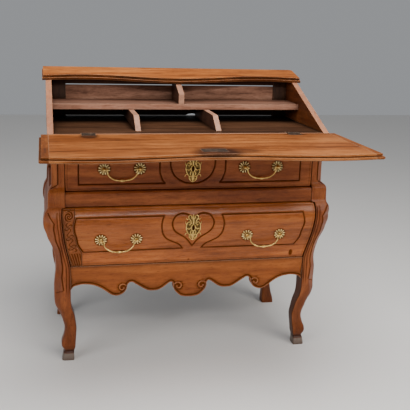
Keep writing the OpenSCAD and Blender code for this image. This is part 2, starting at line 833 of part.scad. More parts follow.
// Outlines of the carved lines on the upper front, drawn for the right half
UPPER_PANEL = [[93, 620], [377, 620], [377, 732], [110, 732], [112, 714], [112, 689], [111, 658],
    [106, 642], [101, 629]];
UPPER_SHIELD = [[0, 618], [13, 619], [27, 622], [43, 630], [59, 642], [68, 656], [74, 673], [76, 689],
    [75, 708], [72, 725], [60, 737]];
function lifted(p) = [for (q = p) [q[0] * wide_k, q[1] * z_k]];
function both_halves(p) =
    concat(p, [for (i = [len(p) - 1 : -1 : 0]) if (p[i][0] > 0.01) [-p[i][0], p[i][1]]]);
line_w = 4;
line_d = 2.5;

module carved_line(p, y0, y1) {
    difference() {
        along_y(p, y0, y1);
        along_y(inset(p, line_w), y0 - 1, y1 + 1);
    }
}

module upper_front() {
    rim = box_outline(-upper_half + 5, upper_z0 + 5, upper_half - 5, upper_z1 - 5);
    color(walnut) placed() difference() {
        span([-upper_half, 0, upper_z0], [upper_half, front_back, upper_z1]);
        carved_line(rim, -1, 1.5);
        carved_line(both_halves(lifted(UPPER_SHIELD)), -1, line_d);
        for (side = [-1, 1]) sided(side) carved_line(lifted(UPPER_PANEL), -1, line_d);
        front_joinery(box_half_upper, upper_z0, upper_z1);
        drawer_lock(upper_key_z, upper_z1 + 5);
        key_hole(upper_key_z, -1, front_back);
        bolt_holes(pull_x, 0, upper_pull_z, 0);
    }
}

module upper_escutcheon() {
    middle = upper_key_z + plate_up;
    color(brass) placed() difference() {
        along_y([for (p = cartouche(plate_w, plate_h)) [p[0], p[1] + middle]], -1.6, 0);
        piercings(plate_w, plate_h, middle, -3, 1);
        key_hole(upper_key_z, -3, 1);
    }
}

module upper_lock() {
    color(iron) placed() difference() {
        drawer_lock(upper_key_z, upper_z1);
        key_hole(upper_key_z, lock_face - 1, front_back - 3);
    }
}

module upper_rosettes() {
    color(brass) placed() at_pulls(pull_x, 0, upper_pull_z, 0) rosette(front_back + 4.6);
}

// Lower drawer

lower_z0 = z_apron + drawer_gap;
lower_z1 = z_mid - drawer_gap;
lower_key_z = 472 * z_k;
lower_levels = concat([lower_z0],
    [for (z = post_levels) if (z > lower_z0 + 1 && z < lower_z1 - 1) z], [lower_z1]);
function lower_end(z) = post_in(z) - drawer_gap;

// Carved lines on the lower front: panels for the right half, and the heart
LOWER_PANEL = [[364, 394], [381, 422], [387, 450], [393, 472], [393, 492], [387, 515], [99, 515],
    [106, 494], [106, 472], [101, 451], [87, 433], [66, 422], [45, 411], [33, 396]];
LOWER_HEART = [[0, 405], [6, 412], [14, 424], [27, 437], [44, 448], [61, 461], [69, 476], [71, 491],
    [66, 505], [56, 516], [40, 521], [25, 520], [13, 514], [0, 503]];

module front_band(d0, d1) {
    along_x(concat([for (z = lower_levels) [drawer_front(z) + d0, z]],
        [for (z = reversed(lower_levels)) [drawer_front(z) + d1, z]]), -far, far);
}

module lower_blank() {
    intersection() {
        along_x(concat([for (z = lower_levels) [drawer_front(z), z]],
            [[front_back, lower_z1], [front_back, lower_z0]]), -far, far);
        along_y(concat([for (z = lower_levels) [lower_end(z), z]],
            [for (z = reversed(lower_levels)) [-lower_end(z), z]]), -90, 90);
    }
}

module curved_line(p, depth) {
    intersection() {
        front_band(-4, depth);
        carved_line(p, -90, 90);
    }
}

module lower_front() {
    rim_in = 5;
    rim_ends = concat([lower_z0 + rim_in],
        [for (z = lower_levels) if (z > lower_z0 + 8 && z < lower_z1 - 8) z], [lower_z1 - rim_in]);
    rim = concat([for (z = rim_ends) [lower_end(z) - rim_in, z]],
        [for (z = reversed(rim_ends)) [rim_in - lower_end(z), z]]);
    color(walnut) placed() difference() {
        lower_blank();
        curved_line(rim, 1.5);
        curved_line(both_halves(lifted(LOWER_HEART)), line_d);
        for (side = [-1, 1]) sided(side) curved_line(lifted(LOWER_PANEL), line_d);
        front_joinery(box_half_lower, lower_z0, lower_z1);
        drawer_lock(lower_key_z, lower_z1 + 5);
        key_hole(lower_key_z, -60, front_back);
        pull_seats(low_pull_x, low_pull_y + seat_gap, low_pull_z, low_lean);
        bolt_holes(low_pull_x, low_pull_y, low_pull_z, low_lean);
    }
}

module lower_escutcheon() {
    middle = lower_key_z + plate_up;
    color(brass) placed() difference() {
        intersection() {
            front_band(-1.6, 0);
            along_y([for (p = cartouche(plate_w, plate_h)) [p[0], p[1] + middle]], -90, 90);
        }
        piercings(plate_w, plate_h, middle, -90, 90);
        key_hole(lower_key_z, -90, 90);
    }
}

module lower_lock() {
    color(iron) placed() difference() {
        drawer_lock(lower_key_z, lower_z1);
        key_hole(lower_key_z, lock_face - 1, front_back - 3);
    }
}

module lower_rosettes() {
    color(brass) placed() at_pulls(low_pull_x, low_pull_y, low_pull_z, low_lean)
        rosette((front_back - low_pull_y) / cos(low_lean) + 6);
}

// Carved upright strip at the left end of the lower drawer
// Inner edge of the carved strip: height, distance from the case's side
STRIP_EDGE = [[342, 96], [394, 96], [422, 80], [450, 74], [472, 68], [492, 68], [515, 74], [547, 74]];
module carved_strip() {
    set = 2;
    low = lower_z0 + set;
    high = lower_z1 - set;
    zs = concat([low], [for (z = lower_levels) if (z > low + 1 && z < high - 1) z], [high]);
    function inner(z) = half_w - lookup(z / z_k, STRIP_EDGE);
    count = 7;
    pitch = (high - low) / count;
    color(walnut) placed() difference() {
        intersection() {
            front_band(-2.5, 0);
            along_y(concat([for (z = zs) [set - lower_end(z), z]],
                [for (z = reversed(zs)) [-inner(z), z]]), -90, 90);
        }
        for (i = [0 : count - 1]) {
            z = low + pitch * (i + 0.5);
            x = (set - lower_end(z) - inner(z)) / 2;
            along_y([[x - 10, z], [x, z - pitch * 0.3], [x + 10, z], [x, z + pitch * 0.3]], -90, 90);
        }
    }
}

module bail_at(side, x, y, z) {
    color(brass) placed() translate([side * x, y, z]) bail();
}
low_bail_y = low_pull_y - head_out * cos(low_lean);
low_bail_z = low_pull_z - head_out * sin(low_lean);

top_board();
gable(-1);  // gable_left
gable(1);  // gable_right
back_stile(-1);  // back_stile_left
back_stile(1);  // back_stile_right
back_rail_upper();
back_board_upper();
back_board_lower();
case_back();
back_rail_lower();
front_post(-1);  // front_post_left
front_post(1);  // front_post_right
rear_post(-1);  // rear_post_left
rear_post(1);  // rear_post_right
writing_bed();
top_rail();
mid_rail();
apron();
side_board(-1);  // side_board_left
side_board(1);  // side_board_right
bombe_side(-1);  // bombe_side_left
bombe_side(1);  // bombe_side_right
runner_upper(-1);  // runner_upper_left
runner_upper(1);  // runner_upper_right
runner_lower(-1);  // runner_lower_left
runner_lower(1);  // runner_lower_right
shelf();
divider_upper();
lower_divider(left_divider_x);  // divider_left
lower_divider(right_divider_x);  // divider_right
hinge_plate(-1);  // hinge_plate_left
hinge_plate(1);  // hinge_plate_right
fall_board();
fall_end(-1);  // fall_end_left
fall_end(1);  // fall_end_right
hinge_flap(-1);  // hinge_flap_left
hinge_flap(1);  // hinge_flap_right
fall_lock();
fall_escutcheon();
upper_front();
sided(-1) drawer_side(box_half_upper, upper_z0, upper_z1);  // upper_side_left
drawer_side(box_half_upper, upper_z0, upper_z1);  // upper_side_right
drawer_back(box_half_upper, upper_z0, upper_z1);  // upper_back
drawer_bottom(box_half_upper, upper_z0);  // upper_bottom
upper_escutcheon();
upper_lock();
upper_rosettes();
lower_front();
sided(-1) drawer_side(box_half_lower, lower_z0, lower_z1);  // lower_side_left
drawer_side(box_half_lower, lower_z0, lower_z1);  // lower_side_right
drawer_back(box_half_lower, lower_z0, lower_z1);  // lower_back
drawer_bottom(box_half_lower, lower_z0);  // lower_bottom
lower_escutcheon();
lower_lock();
lower_rosettes();
carved_strip();
bail_at(-1, pull_x, -head_out, upper_pull_z);  // bail_upper_left
bail_at(1, pull_x, -head_out, upper_pull_z);  // bail_upper_right
bail_at(-1, low_pull_x, low_bail_y, low_bail_z);  // bail_lower_left
bail_at(1, low_pull_x, low_bail_y, low_bail_z);  // bail_lower_right
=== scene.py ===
"""Looks of the slant-front desk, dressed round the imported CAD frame.

Shapes are drawn in millimetres in the part's own drawing frame, with the fall's
turning line at y = 0 and the floor at z = 0, and at() places them in the row frame.
"""

import json
from itertools import product
from math import acos, atan2, cos, hypot, pi, radians, sin, sqrt

import bmesh
import bpy
from mathutils import Matrix, Vector
from mathutils.geometry import delaunay_2d_cdt

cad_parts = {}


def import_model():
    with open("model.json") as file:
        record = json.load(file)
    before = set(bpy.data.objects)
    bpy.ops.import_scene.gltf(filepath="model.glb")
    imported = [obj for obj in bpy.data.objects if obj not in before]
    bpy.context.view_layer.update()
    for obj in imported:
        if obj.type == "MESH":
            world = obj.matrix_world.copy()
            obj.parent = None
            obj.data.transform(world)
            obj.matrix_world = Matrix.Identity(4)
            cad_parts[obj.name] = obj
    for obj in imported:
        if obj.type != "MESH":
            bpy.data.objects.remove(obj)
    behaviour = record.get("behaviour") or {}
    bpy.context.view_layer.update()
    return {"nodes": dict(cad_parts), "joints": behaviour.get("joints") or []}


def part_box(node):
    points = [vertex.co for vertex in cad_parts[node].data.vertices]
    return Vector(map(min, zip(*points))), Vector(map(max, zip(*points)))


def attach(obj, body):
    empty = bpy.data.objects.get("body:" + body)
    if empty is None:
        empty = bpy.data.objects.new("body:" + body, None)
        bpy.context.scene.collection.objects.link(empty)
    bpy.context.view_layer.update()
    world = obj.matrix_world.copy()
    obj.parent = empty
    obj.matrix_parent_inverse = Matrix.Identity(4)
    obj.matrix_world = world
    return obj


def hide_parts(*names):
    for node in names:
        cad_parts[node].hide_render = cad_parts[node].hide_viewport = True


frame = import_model()
cad = frame["nodes"]
fall_axis = next(joint["pos_m"] for joint in frame["joints"] if joint["name"] == "fall_hinge")

# Driving places, taken from the frame: HINGE_Y in metres, the others in millimetres
MM = 0.001
HINGE_Y = fall_axis[1]
BED_Z = fall_axis[2] / MM
GABLE_OVER = 10
HALF_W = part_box("gable_right")[1].x / MM - GABLE_OVER
HINGE_X = (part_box("hinge_flap_right")[0].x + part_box("hinge_flap_right")[1].x) / 2 / MM


def at(x, y, z):
    """A point of the drawing frame, in millimetres, as a point of the row frame in metres."""
    return Vector((x * MM, y * MM + HINGE_Y, z * MM))


# Materials

# Places of the mix node's sockets that carry colours
MIX_A, MIX_B, MIX_RESULT = 6, 7, 2


class Graph:
    """Short calls for one material's node tree."""

    def __init__(self, name):
        self.mat = bpy.data.materials.new(name)
        self.mat.use_nodes = True
        self.tree = self.mat.node_tree
        self.tree.nodes.clear()

    def feed(self, socket, value):
        """Link another node's output to a socket, or give the socket a value."""
        if isinstance(value, bpy.types.NodeSocket):
            self.tree.links.new(value, socket)
        else:
            socket.default_value = value

    def put(self, kind, inputs=None, **props):
        node = self.tree.nodes.new("ShaderNode" + kind)
        for key, value in props.items():
            setattr(node, key, value)
        for key, value in (inputs or {}).items():
            self.feed(node.inputs[key], value)
        return node

    def math(self, operation, a, b=0.0):
        return self.put("Math", {0: a, 1: b}, operation=operation).outputs[0]

    def times(self, a, b):
        return self.math("MULTIPLY", a, b)

    def vector(self, operation, a, b=(0.0, 0.0, 0.0)):
        """Vector arithmetic. A length or a dot product gives a number."""
        node = self.put("VectorMath", {0: a, 1: b}, operation=operation)
        return node.outputs["Value" if operation in ("LENGTH", "DOT_PRODUCT") else "Vector"]

    def ramp(self, fac, stops):
        node = self.put("ValToRGB", {"Fac": fac})
        items = node.color_ramp.elements
        while len(items) < len(stops):
            items.new(0.5)
        for item, (place, colour) in zip(items, stops):
            item.position = place
            item.color = (*colour, 1.0)
        return node.outputs["Color"]

    def span(self, value, low, high, to_low=0.0, to_high=1.0):
        node = self.put("MapRange", {"Value": value, "From Min": low, "From Max": high,
                                     "To Min": to_low, "To Max": to_high})
        node.clamp = True
        return node.outputs["Result"]

    def mix(self, fac, a, b, blend="MIX"):
        a, b = (c if isinstance(c, bpy.types.NodeSocket) else (*c, 1.0) for c in (a, b))
        node = self.put("Mix", {0: fac, MIX_A: a, MIX_B: b}, data_type="RGBA", blend_type=blend)
        return node.outputs[MIX_RESULT]

    def gain(self, colour, value):
        return self.put("HueSaturation", {"Color": colour, "Value": value}).outputs[0]

    def noise(self, vector, scale, detail=3.0, roughness=0.5, distortion=0.0):
        node = self.put("TexNoise", {"Vector": vector, "Scale": scale, "Detail": detail,
                                     "Roughness": roughness, "Distortion": distortion})
        return node.outputs["Fac"]

    def open_sky(self, reach, samples=6):
        """How open a place is, from 0 in a tight corner to 1, as felt within reach metres."""
        return self.put("AmbientOcclusion", {"Distance": reach}, samples=samples).outputs["AO"]

    def bump(self, height, strength, distance, **extra):
        inputs = {"Strength": strength, "Distance": distance, "Height": height, **extra}
        return self.put("Bump", inputs).outputs[0]

    def finish(self, inputs):
        shader = self.put("BsdfPrincipled", inputs)
        self.put("OutputMaterial", {"Surface": shader.outputs[0]})
        return self.mat


PALE = (0.52, 0.3, 0.18)
FOOT_TIP = (0.15, 0.118, 0.095)
# The middle tone's place on the ramp, and how softly a band of height starts, in metres
MID_TONE = 0.53
BAND_SOFT = 0.012


def along(grain, squeeze):
    """A scale that draws a pattern out along one axis."""
    return tuple(squeeze if axis == grain else 1.0 for axis in "xyz")


def wood(name, tones, grain, rough=0.4, wear_and_highlight=0.5, dirt_and_shade=0.7, gloss=0.22, depth=0.0, shade=(0.84, 1.1),
         lips=0.0, feet=False, marks=(), turned=(), bands=(), figure=0.15):
    """Waxed old wood with growth figure, pores, soiling with painted shade in the corners, painted shade
    deep inside the case by depth, and rubbed edges with painted highlights. lips adds paleness along every
    edge, and a smaller figure has more contrast. Each mark is a place, its reach, its strength and its
    tone. turned paints shade and highlights by facing: each entry is a direction, the tone of faces
    turned that way and its strength. Each band is a range of height in metres and a gain."""
    dark, mid, light = tones
    g = Graph(name)
    place = g.put("TexCoord").outputs["Object"]
    luck = g.put("ObjectInfo").outputs["Random"]
    shift = g.put("CombineXYZ", {axis: g.times(luck, far) for axis, far in enumerate((7.0, 3.0, 5.0))})
    moved = g.vector("ADD", place, shift.outputs[0])
    drawn = g.vector("MULTIPLY", moved, along(grain, 0.09))
    broad = g.noise(drawn, 7.0, 3.0, 0.5, 0.4)
    streak = g.noise(drawn, 70.0, 5.0, 0.65)
    fibre = g.noise(drawn, 420.0, 2.0, 0.6)
    patch = g.noise(moved, 5.0, 3.0, 0.6)
    mottle = g.noise(g.vector("MULTIPLY", moved, along(grain, 0.35)), 55.0, 4.0, 0.6, 0.6)
    fleck = g.noise(moved, 190.0, 3.0, 0.7)
    rings = g.math("SINE", g.times(broad, 62.0))
    tone = g.times(broad, 0.5)
    for layer, share in ((streak, 0.32), (mottle, 0.17), (fleck, 0.09), (rings, 0.03)):
        tone = g.math("ADD", tone, g.times(layer, share))
    colour = g.ramp(tone, [(MID_TONE - figure, dark), (MID_TONE, mid), (MID_TONE + figure, light)])
    pores = g.span(fibre, 0.56, 0.7)
    colour = g.mix(g.times(pores, 0.45), colour, dark, "MULTIPLY")
    colour = g.gain(colour, g.times(g.span(patch, 0.3, 0.7, *shade), g.span(luck, 0.0, 1.0, 0.93, 1.07)))

    up = g.put("SeparateXYZ", {0: place}).outputs["Z"]
    for low, high, change in bands:
        inside = g.times(g.span(up, low, low + BAND_SOFT), g.span(up, high, high - BAND_SOFT))
        colour = g.gain(colour, g.span(inside, 0.0, 1.0, 1.0, change))
    # Faces turned each given way take a tone: painted shade on some, rubbing with painted highlight on
    # others.
    facing = g.put("TexCoord").outputs["Normal"]
    for way, tone, strength in turned:
        part = g.times(g.span(g.vector("DOT_PRODUCT", facing, way), 0.45, 0.75),
                       g.span(mottle, 0.34, 0.6, 0.62, 1.0))
        colour = g.mix(g.times(part, strength), colour, tone)
    if feet:
        colour = g.gain(colour, g.span(up, 0.02, 0.26, 0.6, 1.0))
        # A dark ring in the groove above the foot: painted shade.
        ring = g.times(g.span(up, 0.023, 0.028), g.span(up, 0.042, 0.034))
        colour = g.mix(g.times(ring, 0.8), colour, [c * 0.2 for c in dark])
        tip = g.times(g.span(up, 0.027, 0.023), g.span(mottle, 0.3, 0.55, 0.55, 0.95))
        colour = g.mix(tip, colour, FOOT_TIP)
    for middle, reach, strength, tone in marks:
        offset = g.vector("DIVIDE", g.vector("SUBTRACT", place, middle), reach)
        mark = g.times(g.span(g.vector("LENGTH", offset), 1.0, 0.6), g.span(mottle, 0.34, 0.52, 0.72, 1.0))
        colour = g.mix(g.times(mark, strength), colour, tone)

    # Pale along the edges: rubbing, and painted highlight on the arrises.
    soft = g.put("Bevel", {"Radius": 0.0018 + 0.0012 * lips}, samples=4).outputs[0]
    edge = g.vector("DOT_PRODUCT", soft, g.put("NewGeometry").outputs["Normal"])
    pale_edge = g.times(g.span(edge, 0.995, 0.86), g.span(patch, 0.38, 0.6, lips, 1.0))
    colour = g.mix(g.times(pale_edge, wear_and_highlight), colour, PALE)
    # Darker deep inside the case by depth: painted shade.
    if depth:
        colour = g.mix(g.span(g.open_sky(0.16, 8), 0.75, 0.35, 0.0, depth), colour, [c * 0.3 for c in dark])
    # Darker in corners and crevices: soiling, and painted shade.
    crevice_dark = g.times(g.span(g.open_sky(0.028), 0.8, 0.25), dirt_and_shade)
    # The groove attribute darkens carved lines, holes and hollows as painted shade, and also knots and the
    # halos round the rosettes.
    cut = g.put("Attribute", attribute_name="groove").outputs["Fac"]
    crevice_dark = g.math("MAXIMUM", crevice_dark, g.times(cut, 0.85))
    colour = g.mix(crevice_dark, colour, [c * 0.34 for c in dark])

    rough_now = g.math("ADD", g.span(streak, 0.3, 0.7, rough - 0.06, rough + 0.08), g.times(crevice_dark, 0.3))
    height = g.math("SUBTRACT", g.times(streak, 0.6), g.times(pores, 0.7))
    return g.finish({"Base Color": colour, "Roughness": rough_now,
                     "Normal": g.bump(height, 0.25, 0.0006, Normal=soft),
                     "Specular IOR Level": g.span(crevice_dark, 0.0, 0.7, gloss, 0.0)})


def metal(name, base, tarnish, rough, metallic=1.0, spots=0.5, gloss=0.5, crevice_dark=1.0):
    """Cast metal, darker in its hollows."""
    g = Graph(name)
    place = g.put("TexCoord").outputs["Object"]
    blotch = g.noise(place, 90.0, 5.0, 0.6)
    grainy = g.noise(place, 600.0, 3.0, 0.6)
    fac = g.math("MAXIMUM", g.times(g.span(blotch, 0.48, 0.66), spots),
                 g.span(g.open_sky(0.006), 0.75, 0.2, 0.0, crevice_dark))
    rough_now = g.math("ADD", g.times(fac, 0.25), g.span(grainy, 0.3, 0.7, rough - 0.05, rough + 0.1))
    return g.finish({"Base Color": g.mix(fac, base, tarnish), "Roughness": rough_now,
                     "Normal": g.bump(grainy, 0.35, 0.0004),
                     "Metallic": metallic, "Specular IOR Level": gloss})


def plain(name, colour, rough):
    """Pale studio floor with a faint unevenness."""
    g = Graph(name)
    cloud = g.noise(g.put("TexCoord").outputs["Object"], 1.5, 4.0, 0.5)
    return g.finish({"Base Color": g.mix(cloud, [c * 0.97 for c in colour], colour), "Roughness": rough})


# Dark, middle and light tone of each wood
CASE = ((0.085, 0.019, 0.005), (0.22, 0.055, 0.013), (0.36, 0.112, 0.03))
HONEY = ((0.07, 0.018, 0.004), (0.19, 0.053, 0.011), (0.35, 0.122, 0.033))
TOP = ((0.14, 0.036, 0.008), (0.32, 0.093, 0.019), (0.5, 0.18, 0.045))
AMBER = ((0.16, 0.039, 0.007), (0.305, 0.08, 0.0145), (0.45, 0.142, 0.03))
# DIM keeps the inside of the case very dark: painted shade.
DIM = ((0.018, 0.008, 0.004), (0.05, 0.021, 0.01), (0.1, 0.045, 0.022))
SHELF = ((0.14, 0.054, 0.03), (0.29, 0.125, 0.072), (0.46, 0.24, 0.16))
PALE_BACK = ((0.1, 0.042, 0.025), (0.35, 0.17, 0.106), (0.62, 0.36, 0.25))
# Near-black tone of painted shade on faces turned from the light, and of the dark marks on the fall.
SHADE_AND_STAIN = (0.02, 0.0055, 0.0022)
# Pale tone of rubbed edges, also painted as highlight on faces turned to the light.
WORN_AND_LIT = (0.46, 0.235, 0.145)
# Directions of faces: the case's slope, and the faces turned to the right and to the left
SLOPE = (0, -0.37, 0.93)
RIGHTWARD = (1, 0, 0)
LEFTWARD = (-1, 0, 0)
INWARD = (("left", RIGHTWARD), ("right", LEFTWARD))


def board_mark(node, x, y, reach, strength, tone=SHADE_AND_STAIN):
    """A mark on a board at the height of the writing bed, placed in the board's own frame."""
    return cad[node].matrix_world.inverted() @ at(x, y, BED_Z), reach, strength, tone


case_x = wood("case_wood_x", CASE, "x", rough=0.34, gloss=0.2)
case_y = wood("case_wood_y", CASE, "y")
# Inner and back faces of the posts are painted darker: painted shade.
left_z, right_z = (wood("post_wood_" + word, CASE, "z", feet=True, lips=0.2, rough=0.34, gloss=0.2,
                        turned=((way, SHADE_AND_STAIN, 0.75), ((0, 1, 0), SHADE_AND_STAIN, 0.5)))
                   for word, way in INWARD)
rear_z = wood("rear_wood_z", CASE, "z", bands=((-0.02, 0.13, 0.72),))
# Bands: the lighter lower part of the drawer is painted light, the darker top of the bulge is painted shade
# under the fall, and the dark line at the apron joint is soiling and painted shade.
amber_x = wood("amber_wood_x", AMBER, "x", rough=0.27, gloss=0.28,
               bands=((0.343, 0.392, 1.18), (0.506, 0.56, 0.84), (0.331, 0.353, 0.5)))
# The band darkens the apron's top edge at the joint with the drawer: soiling and painted shade.
apron_x = wood("apron_wood_x", AMBER, "x", rough=0.34, gloss=0.18, lips=0.9, wear_and_highlight=0.85,
               shade=(0.7, 0.92), bands=((0.33, 0.356, 0.45),))
strip_z = wood("strip_wood_z", AMBER, "z", lips=0.5, wear_and_highlight=0.6, shade=(0.62, 0.84))
# The curls are painted darker than the apron: painted shade of the carved curl.
curl_x = wood("curl_wood_x", AMBER, "x", wear_and_highlight=0.8, lips=0.9, dirt_and_shade=0.9, shade=(0.6, 0.82))
# Very dark wood for the discs inside the volutes: painted shade.
hollow_shade_x = wood("hollow_shade_wood_x", CASE, "x", rough=0.6, dirt_and_shade=0.9, gloss=0.0, shade=(0.36, 0.5))
DRY = {"rough": 0.46, "gloss": 0.05, "wear_and_highlight": 0.9}
honey_x = wood("honey_wood_x", HONEY, "x", **DRY, lips=0.6, figure=0.12,
               marks=[board_mark("fall_board", *spot) for spot in (
                   (3, -324, (0.085, 0.098, 0.016), 0.86), (70, -300, (0.085, 0.05, 0.016), 0.55),
                   (-HINGE_X, -34, (0.036, 0.055, 0.016), 0.85), (HINGE_X, -18, (0.046, 0.026, 0.016), 0.7))])
honey_y = wood("honey_wood_y", HONEY, "y", **DRY, lips=0.3)
# Faces turned forward and down on the top's edge are painted darker: painted shade.
top_x = wood("top_wood_x", TOP, "x", **DRY, lips=0.5, figure=0.13,
             turned=(((0, -0.95, -0.3), SHADE_AND_STAIN, 0.9),))
# The bed's pale strip along its front edge is a painted highlight; its very dark tones and depth are painted
# shade.
bed_x = wood("bed_wood_x", DIM, "x", rough=0.5, depth=0.9, gloss=0.05, lips=0.9, wear_and_highlight=0.9,
             marks=[board_mark("writing_bed", 0, 3, (0.6, 0.008, 0.012), 0.75, WORN_AND_LIT)])
# The back board above the shelf: pale tones, and painted shade deep in the case by depth.
pale_back_x = wood("pale_back_wood_x", PALE_BACK, "x", rough=0.6, depth=0.3, gloss=0.1)
# Inner faces of the gables are painted darker, painted shade; faces up the slope are pale, rubbing and
# painted highlight.
gable_left_y, gable_right_y = (wood("gable_wood_" + word, CASE, "y", rough=0.45, wear_and_highlight=0.9, lips=0.3,
                                    turned=((way, SHADE_AND_STAIN, 0.66), (SLOPE, WORN_AND_LIT, 0.55)))
                               for word, way in INWARD)
# The shelf's upper faces are painted darker, and depth darkens it deep in the case: painted shade.
shelf_x = wood("shelf_wood_x", SHELF, "x", rough=0.5, depth=0.4, wear_and_highlight=0.9, lips=0.4,
               turned=(((0, 0, 1), SHADE_AND_STAIN, 0.65),))
# Side faces of the dividers are painted darker, painted shade; front and slope faces are pale, rubbing and
# painted highlight.
shelf_y = wood("shelf_wood_y", SHELF, "y", rough=0.5, wear_and_highlight=0.9, depth=0.6, lips=0.4,
               turned=((LEFTWARD, SHADE_AND_STAIN, 0.85), (RIGHTWARD, SHADE_AND_STAIN, 0.85),
                       ((0, -1, 0), WORN_AND_LIT, 0.8), (SLOPE, WORN_AND_LIT, 0.5)))
dim_x, dim_y, dim_z = (wood("inner_wood_" + grain, DIM, grain, rough=0.6) for grain in "xyz")
pale_y = wood("drawer_wood_y", SHELF, "y", rough=0.6)
brass = metal("brass", (0.84, 0.58, 0.19), (0.12, 0.064, 0.018), 0.3)
# A lighter copy of the brass for the petals: painted highlight.
highlit_brass = metal("brass_highlit", (1.0, 0.8, 0.38), (0.3, 0.18, 0.06), 0.33, spots=0.3, crevice_dark=0.6)
# Dark brass for the rosette middles and the plates' ground: tarnish, and painted shade under the petals and
# between the scrolls.
dull_shaded_brass = metal("brass_dull_shaded", (0.16, 0.095, 0.03), (0.03, 0.016, 0.007), 0.42, spots=0.9)
iron = metal("iron", (0.03, 0.019, 0.013), (0.085, 0.052, 0.034), 0.6, metallic=0.0, spots=0.9, gloss=0.1)


def pair(*stems):
    """The left and the right node of each stem."""
    return tuple(f"{stem}_{word}" for stem in stems for word in ("left", "right"))


# The nodes that keep their CAD meshes
LOOKS = {
    case_x: ("top_rail", "mid_rail"),
    case_y: pair("side_board"),
    honey_x: ("fall_board",),
    honey_y: pair("fall_end"),
    top_x: ("top_board",),
    bed_x: ("writing_bed",),
    gable_left_y: ("gable_left",),
    gable_right_y: ("gable_right",),
    shelf_x: ("shelf",),
    shelf_y: ("divider_upper", *pair("divider")),
    pale_back_x: ("back_board_upper",),
    dim_x: ("back_rail_upper", "back_board_lower", "case_back", "back_rail_lower", "upper_bottom",
            "lower_bottom"),
    dim_y: pair("runner_upper", "runner_lower"),
    dim_z: pair("back_stile"),
    pale_y: (*pair("upper_side", "lower_side"), "upper_back", "lower_back"),
    brass: ("fall_escutcheon",),
    iron: (*pair("hinge_plate", "hinge_flap"), "fall_lock", "upper_lock", "lower_lock"),
}
for look, names in LOOKS.items():
    for name in names:
        cad[name].data.materials.clear()
        cad[name].data.materials.append(look)


# Mesh helpers

def smooth(table, place):
    """A smooth curve through a table of (place, value) pairs."""
    last = len(table) - 1
    i = 0
    while i < last - 1 and place >= table[i + 1][0]:
        i += 1
    before, low, high, after = table[max(i - 1, 0)], table[i], table[i + 1], table[min(i + 2, last)]
    gap = high[0] - low[0]
    u = (place - low[0]) / gap
    m_low = gap * (high[1] - before[1]) / (high[0] - before[0])
    m_high = gap * (after[1] - low[1]) / (after[0] - low[0])
    return (low[1] * (1 + 2 * u) * (1 - u) ** 2 + m_low * u * (1 - u) ** 2
            + high[1] * u * u * (3 - 2 * u) - m_high * u * u * (1 - u))


def lookup(table, place):
    """Straight lines through a table of (place, value) pairs."""
    if place <= table[0][0]:
        return table[0][1]
    for (low, a), (high, b) in zip(table, table[1:]):
        if place <= high:
            return a + (b - a) * (place - low) / (high - low)
    return table[-1][1]


def steps(low, high, size):
    """Even places from low to high, about size apart."""
    count = max(1, round((high - low) / size))
    return [low + (high - low) * i / count for i in range(count + 1)]


def levels(ends, sizes):
    """Places through several stretches, each with its own spacing."""
    out = [ends[0]]
    for low, high, size in zip(ends, ends[1:], sizes):
        out += steps(low, high, size)[1:]
    return out


def circle(count):
    """Cosine and sine of even turns round a circle."""
    return [(cos(2 * pi * k / count), sin(2 * pi * k / count)) for k in range(count)]


def add(name, data):
    obj = bpy.data.objects.new(name, data)
    bpy.context.scene.collection.objects.link(obj)
    return obj


def piece(name, points, faces, look, body, stands_for=(), crease=50, cuts=None):
    """A mesh object that rides on a body. cuts holds how much each point is darkened, mostly painted
    shade in carved lines and hollows.
    """
    mesh = bpy.data.meshes.new(name)
    mesh.from_pydata(points, [], faces)
    mesh.validate()
    work = bmesh.new()
    work.from_mesh(mesh)
    bmesh.ops.recalc_face_normals(work, faces=work.faces)
    work.to_mesh(mesh)
    work.free()
    mesh.polygons.foreach_set("use_smooth", [True] * len(mesh.polygons))
    mesh.set_sharp_from_angle(angle=radians(crease))
    if cuts is not None and len(cuts) == len(mesh.vertices):
        layer = mesh.attributes.new("groove", "FLOAT", "POINT")
        layer.data.foreach_set("value", cuts)
    mesh.materials.append(look)
    obj = add(name, mesh)
    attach(obj, body)
    if stands_for:
        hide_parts(*stands_for)


def tube(ring_count, size, start=0, capped=True):
    """Faces between rings of the same size, one after another, and over the first and last ring."""
    faces = []
    for a in range(start, start + (ring_count - 1) * size, size):
        for i in range(size):
            j = (i + 1) % size
            faces.append((a + i, a + j, a + size + j, a + size + i))
    if capped:
        last = start + (ring_count - 1) * size
        faces += [tuple(reversed(range(start, start + size))), tuple(range(last, last + size))]
    return faces


def loft(name, rings, look, stands_for=(), crease=50, cuts=None):
    """A closed piece of the case through rings of points."""
    points = [p for ring in rings for p in ring]
    piece(name, points, tube(len(rings), len(rings[0])), look, "carcass", stands_for, crease, cuts)


def rounded(corners, radii, arc, edge):
    """Points round a polygon with rounded corners: arc points per corner, edge points per side."""
    out, bends = [], []
    befores, afters = corners[-1:] + corners[:-1], corners[1:] + corners[:1]
    for before, corner, after, radius in zip(befores, corners, afters, radii):
        back, ahead = before - corner, after - corner
        reach = min(radius, back.length * 0.45, ahead.length * 0.45)
        bends.append((corner + back.normalized() * reach, corner, corner + ahead.normalized() * reach))
    for (start, corner, end), (stop, _, _) in zip(bends, bends[1:] + bends[:1]):
        for t in steps(0, 1, 1 / (arc - 1)):
            out.append((1 - t) ** 2 * start + 2 * t * (1 - t) * corner + t * t * end)
        out += [end.lerp(stop, k / (edge + 1)) for k in range(1, edge + 1)]
    return out


